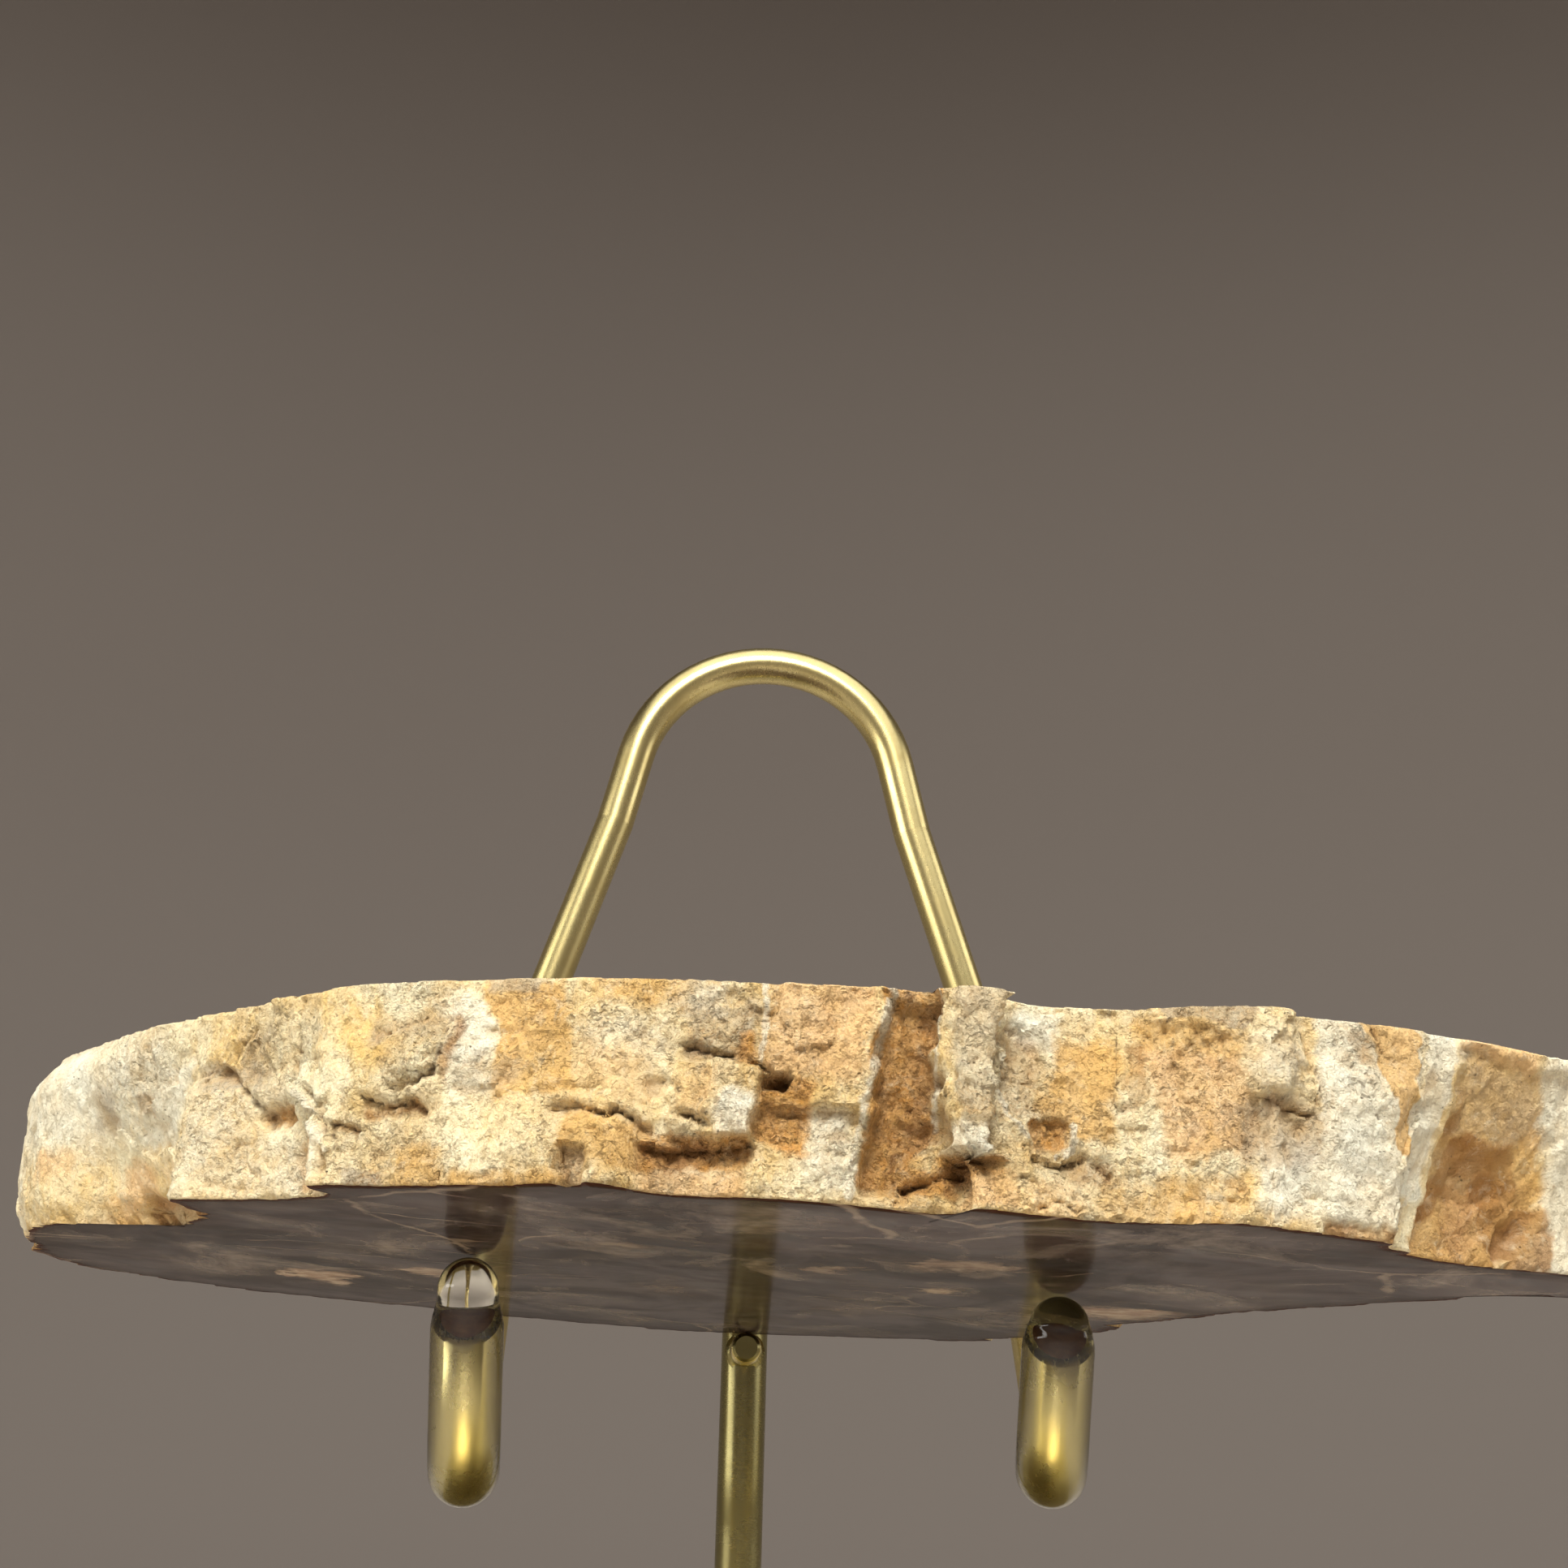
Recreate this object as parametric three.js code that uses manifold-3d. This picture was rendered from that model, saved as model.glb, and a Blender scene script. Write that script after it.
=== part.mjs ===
// A slice of petrified wood on a brass display stand.
// Millimetres, +Z up, +Y to the back. The origin is the middle of the base's underside.
import * as THREE from "three";
import { mergeVertices } from "three/addons/utils/BufferGeometryUtils.js";
import Module from "manifold-3d";

const wasm = await Module();
wasm.setup();

const GAP = 0.3; // left open between pieces that touch

// The slice
const SLICE_THICKNESS = 12;
const SLICE_SLOPE = 0.035; // its right side lies lower: fall per millimetre of width
const SLICE_UNDERSIDE_Z = 45.2; // height of its underside above the origin
const NEAR_STEP = 1.0; // spacing of the rim's facets along the front
const FAR_STEP = 2.4; // and along the back
const ROUGHNESS = 0.28; // how far the broken bark surface strays
const OUTLINE_SAMPLES = 1600; // fine points the rim's stations are picked from

// The wire cradle
const WIRE_D = 3.9;
const STAND_Y = 38; // plane of the arch and the post, behind the slice
const ARCH_TOP_Z = 115.9; // centre line at the top of the arch
const ARCH_R = 14.2;
const LEG_TILT = THREE.MathUtils.degToRad(17); // how far the arch's legs spread
const KNEE_Z = 73; // where the legs turn upright
const HOOK_X = 21.4;
const HOOK_TIP_Y = -16.5;
const HOOK_LEAN = THREE.MathUtils.degToRad(26); // the hooks lean away from the arch
const HOOK_BEND_R = 4.5;
const FOOT_BEND_R = 6;
const KNEE_BEND_R = 30;
const WIRE_SIDES = 12;
const BEND_STEP = THREE.MathUtils.degToRad(13); // turn between stations of a bend
// The two halves were bent by hand, so they differ a little.
const LEFT = { side: -1, footX: 24.8, runZ: 31.4, wireEndZ: 39.6 };
const RIGHT = { side: 1, footX: 28, runZ: 32.4, wireEndZ: 39.7 };
// Where the arch runs into its straight legs, and where the legs turn upright.
const ARCH_CENTRE_Z = ARCH_TOP_Z - ARCH_R;
const SHOULDER = { x: ARCH_R * Math.cos(LEG_TILT), z: ARCH_CENTRE_Z + ARCH_R * Math.sin(LEG_TILT) };
const KNEE_X = SHOULDER.x + (SHOULDER.z - KNEE_Z) * Math.tan(LEG_TILT);

// The clear caps on the wire's ends
const CAP_D = 5.3;
const CAP_ALONG_RUN = 5; // how far a cap reaches round the bend

// The rest of the stand
const POST_D = 4.4;
const CROSSBAR_D = 4;
const CROSSBAR_Z = 62;
const PEG_D = 2.6;
const PEG_FRONT_Y = 31;
const BASE_WIDTH = 84;
const BASE_DEPTH = 96;
const BASE_HEIGHT = 6;
const BASE_CORNER_R = 12;
const BASE_BEVEL = 1;
const ROUND_SIDES = 24;

const FINISH = {
  stone: { color: 0xd9bb85, roughness: 0.85, metalness: 0 },
  brass: { color: 0xc7a55a, roughness: 0.25, metalness: 1 },
  vinyl: { color: 0xe9e6dc, roughness: 0.1, metalness: 0, transparent: true, opacity: 0.35 },
};

// Outline of the slice's upper face, clockwise from the left end along the front, seen from above.
// Each row: x, y, and how far the lower edge lies inside the upper one there.
const OUTLINE = [
  [-57.8, -5, 0.4],
  [-56.4, -13, 0.8],
  [-53, -20, 1],
  [-48.6, -26.2, 4.6],
  [-43.4, -31.2, 4],
  [-40, -34.4, 2.2],
  [-38, -36.8, 0.2],
  [-33.8, -41.2, 2.4],
  [-29.6, -45.4, 3],
  [-28.2, -47.2, 0],
  [-23, -50.2, 0.2],
  [-17.7, -52.3, 0],
  [-12.6, -53.9, -1.6],
  [-10.4, -54.4, -1.8],
  [-7.8, -54.9, 1.2],
  [-2, -55.5, 1],
  [4.8, -56, 2.2],
  [7.6, -56.1, 3.2],
  [10.3, -57.1, 1.6],
  [12.2, -55.6, 0],
  [14.5, -55, 0],
  [19.1, -55.4, 0.4],
  [23.2, -57.4, 0.8],
  [27, -58.2, 1.6],
  [28.6, -56.7, 0.8],
  [32.8, -55.7, 2],
  [35.4, -55.2, 2.4],
  [36.6, -53.4, 2.4],
  [40.3, -51.8, 3.6],
  [45.7, -49, 3],
  [51.3, -45, 1.5],
  [55.8, -41.6, 0.6],
  [58, -38, 0],
  [55.2, -35.6, 0.4],
  [51.3, -33.6, 0.6],
  [47.6, -30, 0.4],
  [42.4, -22.8, 0],
  [36.2, -13, 0.4],
  [34, -4.6, 0.8],
  [30.6, 3, 0.4],
  [26, 15.6, 0],
  [20, 24.4, 0.5],
  [9.8, 30, 0.3],
  [0, 33.3, 0],
  [-9.4, 34.9, 0],
  [-17.4, 33.6, 0.4],
  [-26.3, 30.9, 0.6],
  [-35, 26, 0.2],
  [-45, 21, 0],
  [-52, 16, 0.5],
  [-56.2, 9.6, 0.4],
  [-58.2, 2.4, 0.2],
];

// Broken relief of the front of the rim. x runs along the front, z up from the underside;
// out is how far the patch stands proud (below 0: is hollow), soft is the width of its shoulder.
const FRONT_RELIEF = [
  { x: [-47, -40.5], z: [-1, 1.6], out: -1.6, soft: 1 }, // chipped lower edge at the left end
  { x: [-39, -29.6], z: [-1, 7], out: 0.7, soft: 0.8 }, // block left of the first step
  { x: [-33.6, -31.2], z: [4.4, 5.6], out: -1.2, soft: 0.5 },
  { x: [-29.2, -28.6], z: [0.4, 5], out: -0.9, soft: 0.3 }, // its broken side
  { x: [-27.2, -25.4], z: [2.5, 3.3], out: -0.8, soft: 0.4 },
  { x: [-24.8, -21], z: [4.3, 5.2], out: -1.1, soft: 0.4 },
  { x: [-26, -20.5], z: [5.4, 9], out: 0.5, soft: 1 },
  { x: [-13.6, -9.2], z: [3, 3.9], out: -0.8, soft: 0.4 },
  { x: [-13.4, -11.2], z: [0.3, 2.4], out: -1.6, soft: 0.5 }, // arched recess
  { x: [-7.6, -2], z: [2.5, 7.6], out: 1.5, soft: 0.35 }, // jutting block
  { x: [-8.6, -2.4], z: [1.1, 2.4], out: -2.2, soft: 0.35 }, // hollow beneath it
  { x: [-1.8, -0.6], z: [5.8, 6.9], out: -1.8, soft: 0.3 },
  { x: [-1.8, 4.2], z: [4, 13], out: 0.7, soft: 0.4 },
  { x: [4, 7.6], z: [0.6, 13], out: -1.3, soft: 0.35 }, // rusty channel between two veins
  { x: [7.9, 11.3], z: [3.2, 13], out: 1.3, soft: 0.35 }, // upright column
  { x: [8.2, 11.8], z: [1.9, 3.1], out: -2.4, soft: 0.3 }, // hollow at its foot
  { x: [11.6, 14], z: [6, 11], out: -0.8, soft: 0.5 },
  { x: [13.2, 15.6], z: [3, 5.2], out: -0.9, soft: 0.5 },
  { x: [20, 24.4], z: [-1, 2.4], out: -0.6, soft: 0.8 },
  { x: [23.8, 28.6], z: [7.4, 13], out: 0.8, soft: 0.4 }, // overhang
  { x: [24.2, 28.8], z: [4.4, 7.3], out: -1.7, soft: 0.7 }, // hollow under the overhang
  { x: [29.2, 35.2], z: [-1, 9], out: 1.1, soft: 1.2 }, // pale bulging block
  { x: [32.4, 34.4], z: [8, 13], out: -0.5, soft: 0.5 },
  { x: [35.8, 42.6], z: [-1, 11], out: -0.9, soft: 0.5 }, // set-back end block
];

// The same for the rest of the rim, as blocks between joints, by distance round the rim from its right end.
const REAR_RELIEF = { from: 8, to: 200, widths: [4.5, 10], out: 1.8, ledge: 2, soft: 0.8 };

function seeded(seed) {
  let state = seed;
  return () => {
    state = (state * 1664525 + 1013904223) % 4294967296;
    return state / 4294967296;
  };
}

function lattice(i, j, k) {
  const n = Math.sin(i * 127.1 + j * 311.7 + k * 74.7) * 43758.5453;
  return n - Math.floor(n);
}

// Smooth noise from -1 to 1 over space.
function noise(x, y, z) {
  const [i, j, k] = [x, y, z].map(Math.floor);
  const [u, v, w] = [x - i, y - j, z - k].map((t) => t * t * (3 - 2 * t));
  const mix = THREE.MathUtils.lerp;
  const edge = (b, c) => mix(lattice(i, j + b, k + c), lattice(i + 1, j + b, k + c), u);
  const face = (c) => mix(edge(0, c), edge(1, c), v);
  return 2 * mix(face(0), face(1), w) - 1;
}

// 1 inside the span from a to b, 0 outside, with a shoulder of the given width across each end.
function within(value, [a, b], soft) {
  const up = THREE.MathUtils.smoothstep(value, a - soft / 2, a + soft / 2);
  const down = THREE.MathUtils.smoothstep(value, b - soft / 2, b + soft / 2);
  return up - down;
}

function rearBlocks() {
  const random = seeded(11);
  const blocks = [];
  let at = REAR_RELIEF.from;
  while (at < REAR_RELIEF.to) {
    const width = THREE.MathUtils.lerp(...REAR_RELIEF.widths, random());
    const span = [at, Math.min(at + width, REAR_RELIEF.to)];
    const split = SLICE_THICKNESS * (0.2 + 0.6 * random());
    const whole = [-1, SLICE_THICKNESS + 1];
    blocks.push({ s: span, z: whole, out: REAR_RELIEF.out * (random() - 0.5), soft: REAR_RELIEF.soft });
    const ledge = REAR_RELIEF.ledge * (random() - 0.6);
    blocks.push({ s: span, z: [-1, split], out: ledge, soft: REAR_RELIEF.soft });
    at += width;
  }
  return blocks;
}

// Points round the rim with the lower edge's setback in z, closer together along the front.
function rimStations() {
  const loop = new THREE.CatmullRomCurve3(
    OUTLINE.map(([x, y, setback]) => new THREE.Vector3(x, y, setback)),
    true,
    "centripetal",
  );
  const fine = loop.getSpacedPoints(OUTLINE_SAMPLES);
  const stations = [];
  const rightEnd = Math.max(...fine.map((p) => p.x));
  let travelled = 0;
  let passedRightEnd = 0;
  let next = 0;
  for (let i = 0; i < fine.length - 1; i += 1) {
    if (travelled >= next) {
      const far = passedRightEnd > 0;
      stations.push({ p: fine[i], ahead: fine[i + 1], round: travelled - passedRightEnd, far });
      next = travelled + (far ? FAR_STEP : NEAR_STEP);
    }
    if (fine[i].x === rightEnd) passedRightEnd = travelled;
    travelled += Math.hypot(fine[i + 1].x - fine[i].x, fine[i + 1].y - fine[i].y);
  }
  return stations;
}

function rimHeights() {
  const levels = [0, 0.7, 1.5, 2.4, 3.2, 4.3, 5.5, 6.6, 7.5, 8.8, 10.2, 11.5];
  return [...levels, SLICE_THICKNESS];
}

function sliceGeometry() {
  const stations = rimStations();
  const heights = rimHeights();
  const blocks = rearBlocks();
  const rings = heights.map((z) =>
    stations.map(({ p, ahead, round, far }) => {
      const along = new THREE.Vector2(ahead.x - p.x, ahead.y - p.y).normalize();
      const outward = new THREE.Vector2(along.y, -along.x);
      let out = -p.z * (1 - THREE.MathUtils.smoothstep(z, 0, SLICE_THICKNESS));
      for (const patch of far ? blocks : FRONT_RELIEF) {
        const span = far ? within(round, patch.s, patch.soft) : within(p.x, patch.x, patch.soft);
        out += patch.out * span * within(z, patch.z, patch.soft);
      }
      const sawn = z === 0 || z === SLICE_THICKNESS;
      out += ROUGHNESS * (sawn ? 0.5 : 1) * noise(p.x * 0.5, p.y * 0.5, z * 0.5);
      out += ROUGHNESS * noise(p.x * 0.2 + 9, p.y * 0.2, z * 0.2);
      return new THREE.Vector3(p.x + outward.x * out, p.y + outward.y * out, z);
    }),
  );
  const count = stations.length;
  const points = rings.flat();
  const index = [];
  for (let row = 0; row < heights.length - 1; row += 1) {
    for (let i = 0; i < count; i += 1) {
      const a = row * count + i;
      const b = row * count + ((i + 1) % count);
      index.push(a, b, b + count, a, b + count, a + count);
    }
  }
  const topStart = (heights.length - 1) * count;
  for (const [a, b, c] of THREE.ShapeUtils.triangulateShape(rings[0], [])) {
    index.push(a, c, b);
  }
  for (const [a, b, c] of THREE.ShapeUtils.triangulateShape(rings.at(-1), [])) {
    index.push(topStart + a, topStart + b, topStart + c);
  }
  const geometry = new THREE.BufferGeometry().setFromPoints(points);
  geometry.setIndex(index);
  return geometry;
}

// A centre line given by its own points, each a station of the extrusion.
class BentLine extends THREE.Curve {
  constructor(points) {
    super();
    this.points = points;
  }

  getPoint(t, target = new THREE.Vector3()) {
    const place = t * (this.points.length - 1);
    const i = Math.min(Math.floor(place), this.points.length - 2);
    return target.lerpVectors(this.points[i], this.points[i + 1], place - i);
  }

  getUtoTmapping(u) {
    return u;
  }
}

// Corners joined by straights, each inner corner rounded to its own radius.
function roundCorners(corners) {
  const points = [corners[0].at];
  for (let i = 1; i < corners.length - 1; i += 1) {
    const { at, radius } = corners[i];
    const back = corners[i - 1].at.clone().sub(at).normalize();
    const on = corners[i + 1].at.clone().sub(at).normalize();
    const turn = Math.PI - back.angleTo(on);
    const start = at.clone().addScaledVector(back, radius * Math.tan(turn / 2));
    const middle = back.clone().add(on).normalize();
    const centre = at.clone().addScaledVector(middle, radius / Math.cos(turn / 2));
    const axis = back.clone().cross(on).normalize();
    const steps = Math.max(1, Math.round(turn / BEND_STEP));
    for (let s = 0; s <= steps; s += 1) {
      const spoke = start.clone().sub(centre);
      spoke.applyAxisAngle(axis, (-turn * s) / steps);
      points.push(centre.clone().add(spoke));
    }
  }
  points.push(corners.at(-1).at);
  return points;
}

function tube(points, diameter) {
  const circle = new THREE.Shape();
  for (let i = 0; i < WIRE_SIDES; i += 1) {
    const angle = (i * 2 * Math.PI) / WIRE_SIDES;
    const [x, y] = [(Math.cos(angle) * diameter) / 2, (Math.sin(angle) * diameter) / 2];
    if (i === 0) circle.moveTo(x, y);
    else circle.lineTo(x, y);
  }
  circle.closePath();
  const options = { steps: points.length - 1, extrudePath: new BentLine(points), curveSegments: 1 };
  return new THREE.ExtrudeGeometry(circle, options);
}

function solidOf(geometry) {
  const bare = geometry.clone();
  bare.deleteAttribute("normal");
  bare.deleteAttribute("uv");
  const merged = mergeVertices(bare, 1e-4);
  return new wasm.Manifold(
    new wasm.Mesh({
      numProp: 3,
      vertProperties: new Float32Array(merged.attributes.position.array),
      triVerts: new Uint32Array(merged.index.array),
    }),
  );
}

function geometryOf(solid) {
  const mesh = solid.getMesh();
  const geometry = new THREE.BufferGeometry();
  geometry.setAttribute("position", new THREE.BufferAttribute(mesh.vertProperties, 3));
  geometry.setIndex(new THREE.BufferAttribute(mesh.triVerts, 1));
  return geometry;
}

function underside(x) {
  return SLICE_UNDERSIDE_Z - SLICE_SLOPE * x;
}

// Centre of a cap's round end, which touches the slice.
function capCentre({ side }) {
  const x = side * HOOK_X;
  return new THREE.Vector3(x, HOOK_TIP_Y, underside(x) - CAP_D / 2 - GAP);
}

// Where the hook's own line meets the line of the run under the slice.
function hookCorner(hook) {
  const tip = capCentre(hook);
  const drop = tip.z - hook.runZ;
  return new THREE.Vector3(tip.x, tip.y + drop * Math.tan(HOOK_LEAN), hook.runZ);
}

function legFoot(hook) {
  return new THREE.Vector3(hook.side * hook.footX, STAND_Y, hook.runZ);
}

// The corners of one half of the wire, from the free end of its hook up to the arch.
function halfWire(hook) {
  const corner = hookCorner(hook);
  const tip = capCentre(hook);
  const share = (hook.wireEndZ - corner.z) / (tip.z - corner.z);
  return [
    { at: corner.clone().lerp(tip, share) },
    { at: corner, radius: HOOK_BEND_R },
    { at: legFoot(hook), radius: FOOT_BEND_R },
    { at: new THREE.Vector3(hook.side * KNEE_X, STAND_Y, KNEE_Z), radius: KNEE_BEND_R },
    { at: new THREE.Vector3(hook.side * SHOULDER.x, STAND_Y, SHOULDER.z) },
  ];
}

function archPoints() {
  const turn = Math.PI - 2 * LEG_TILT;
  const steps = Math.round(turn / BEND_STEP);
  const points = [];
  for (let i = 1; i < steps; i += 1) {
    const angle = Math.PI - LEG_TILT - (i * turn) / steps;
    const z = ARCH_CENTRE_Z + ARCH_R * Math.sin(angle);
    points.push(new THREE.Vector3(ARCH_R * Math.cos(angle), STAND_Y, z));
  }
  return points;
}

function cradleGeometry() {
  const left = roundCorners(halfWire(LEFT));
  const right = roundCorners(halfWire(RIGHT)).reverse();
  return tube([...left, ...archPoints(), ...right], WIRE_D);
}

function capGeometry(hook) {
  const tip = capCentre(hook);
  const corner = hookCorner(hook);
  const back = legFoot(hook).sub(corner).normalize();
  const bendLength = HOOK_BEND_R * Math.tan((Math.PI / 2 - HOOK_LEAN) / 2);
  const endAt = (extra) => corner.clone().addScaledVector(back, bendLength + CAP_ALONG_RUN + extra);
  const line = (from, extra) =>
    roundCorners([{ at: from }, { at: corner, radius: HOOK_BEND_R }, { at: endAt(extra) }]);
  const down = corner.clone().sub(tip).normalize();
  const wireEnd = corner.clone().lerp(tip, (hook.wireEndZ - corner.z) / (tip.z - corner.z));
  const boreEnd = wireEnd.addScaledVector(down, -GAP);
  const dome = new THREE.SphereGeometry(CAP_D / 2, WIRE_SIDES, 8);
  dome.rotateX(Math.PI / 2 + HOOK_LEAN).translate(tip.x, tip.y, tip.z);
  const skin = solidOf(tube(line(tip, 0), CAP_D)).add(solidOf(dome));
  return geometryOf(skin.subtract(solidOf(tube(line(boreEnd, 1), WIRE_D + 2 * GAP))));
}

function rodGeometry(diameter, length) {
  return new THREE.CylinderGeometry(diameter / 2, diameter / 2, length, ROUND_SIDES);
}

// The end of the crossbar beside one leg.
function barEnd(hook) {
  const share = (KNEE_Z - CROSSBAR_Z) / (KNEE_Z - hook.runZ);
  const legX = THREE.MathUtils.lerp(KNEE_X, hook.footX, share);
  return hook.side * (legX - WIRE_D / 2 - 2 * GAP);
}

function baseGeometry() {
  const [w, d, r] = [BASE_WIDTH / 2 - BASE_BEVEL, BASE_DEPTH / 2 - BASE_BEVEL, BASE_CORNER_R];
  const plate = new THREE.Shape();
  plate.moveTo(-w + r, -d);
  plate.lineTo(w - r, -d).absarc(w - r, -d + r, r, -Math.PI / 2, 0);
  plate.lineTo(w, d - r).absarc(w - r, d - r, r, 0, Math.PI / 2);
  plate.lineTo(-w + r, d).absarc(-w + r, d - r, r, Math.PI / 2, Math.PI);
  plate.lineTo(-w, -d + r).absarc(-w + r, -d + r, r, Math.PI, 1.5 * Math.PI);
  const options = {
    depth: BASE_HEIGHT - 2 * BASE_BEVEL,
    bevelSize: BASE_BEVEL,
    bevelThickness: BASE_BEVEL,
    bevelSegments: 2,
    curveSegments: 8,
  };
  return new THREE.ExtrudeGeometry(plate, options).translate(0, 0, BASE_BEVEL);
}

function piece(name, geometry, finish) {
  const mesh = new THREE.Mesh(geometry, new THREE.MeshStandardMaterial(finish));
  mesh.name = name;
  return mesh;
}

const group = new THREE.Group();

const slice = piece("petrified_wood_slice", sliceGeometry(), FINISH.stone);
const tilted = new THREE.Group();
tilted.rotation.y = Math.atan(SLICE_SLOPE);
tilted.position.z = SLICE_UNDERSIDE_Z;
tilted.add(slice);
group.add(tilted);

group.add(piece("cradle_wire", cradleGeometry(), FINISH.brass));
group.add(piece("cap_left", capGeometry(LEFT), FINISH.vinyl));
group.add(piece("cap_right", capGeometry(RIGHT), FINISH.vinyl));

const crossbarLength = barEnd(RIGHT) - barEnd(LEFT);
const crossbar = piece("crossbar", rodGeometry(CROSSBAR_D, crossbarLength), FINISH.brass);
crossbar.rotation.z = Math.PI / 2;
crossbar.position.set((barEnd(LEFT) + barEnd(RIGHT)) / 2, STAND_Y, CROSSBAR_Z);
group.add(crossbar);

const postTop = CROSSBAR_Z - CROSSBAR_D / 2 - GAP;
const postFoot = BASE_HEIGHT + GAP;
const post = piece("post", rodGeometry(POST_D, postTop - postFoot), FINISH.brass);
post.rotation.x = Math.PI / 2;
post.position.set(0, STAND_Y, (postTop + postFoot) / 2);
group.add(post);

const pegBack = STAND_Y - POST_D / 2 - GAP;
const peg = piece("rest_peg", rodGeometry(PEG_D, pegBack - PEG_FRONT_Y), FINISH.brass);
peg.position.set(0, (pegBack + PEG_FRONT_Y) / 2, SLICE_UNDERSIDE_Z - GAP - PEG_D / 2);
group.add(peg);

group.add(piece("base", baseGeometry(), FINISH.brass));

export default group;
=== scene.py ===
import itertools
import math

import bmesh
import bpy
import numpy as np
from mathutils import Matrix, Vector


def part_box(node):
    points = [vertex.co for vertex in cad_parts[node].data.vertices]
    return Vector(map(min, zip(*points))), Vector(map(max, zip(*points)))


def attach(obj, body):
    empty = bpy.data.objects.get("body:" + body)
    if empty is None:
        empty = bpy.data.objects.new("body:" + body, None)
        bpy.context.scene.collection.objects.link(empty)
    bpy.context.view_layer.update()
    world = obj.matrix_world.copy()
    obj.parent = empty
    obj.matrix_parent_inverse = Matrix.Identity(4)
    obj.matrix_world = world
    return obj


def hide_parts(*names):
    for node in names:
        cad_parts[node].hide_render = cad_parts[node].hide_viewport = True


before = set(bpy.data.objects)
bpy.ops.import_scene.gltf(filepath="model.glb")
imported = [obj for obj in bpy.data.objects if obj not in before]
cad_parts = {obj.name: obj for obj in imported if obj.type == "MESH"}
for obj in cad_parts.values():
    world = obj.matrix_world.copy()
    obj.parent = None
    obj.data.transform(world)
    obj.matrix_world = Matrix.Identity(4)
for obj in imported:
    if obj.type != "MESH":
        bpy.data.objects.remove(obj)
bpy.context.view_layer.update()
mm = 0.001

print("petrified wood slice: frame loaded")


# Shader maths: an expression on Values adds its own Math nodes.
class Value:
    def __init__(self, shader, socket):
        self.shader = shader
        self.socket = socket

    def __add__(self, other):
        return self.shader.math("ADD", self, other)

    def __sub__(self, other):
        return self.shader.math("SUBTRACT", self, other)

    def __rsub__(self, other):
        return self.shader.math("SUBTRACT", other, self)

    def __mul__(self, other):
        return self.shader.math("MULTIPLY", self, other)

    def __truediv__(self, other):
        return self.shader.math("DIVIDE", self, other)

    __radd__ = __add__
    __rmul__ = __mul__

    def clamped(self):
        return self.shader.math("ADD", self, 0.0, clamp=True)

    def power(self, exponent):
        return self.shader.math("POWER", self, exponent)

    def over(self, low, high):
        # 0 below low, 1 above high, straight between
        return self.shader.math("MULTIPLY", self - low, 1 / (high - low), clamp=True)


class NodeTree:
    def node(self, kind, settings=None, feeds=None):
        # any node: its type, its settings, then its sockets' values or links
        made = self.tree.nodes.new(kind)
        for key, value in (settings or {}).items():
            setattr(made, key, value)
        for key, value in (feeds or {}).items():
            value = value.socket if isinstance(value, Value) else value
            if isinstance(value, bpy.types.NodeSocket):
                self.tree.links.new(value, made.inputs[key])
            else:
                made.inputs[key].default_value = value
        return made.outputs


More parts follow.
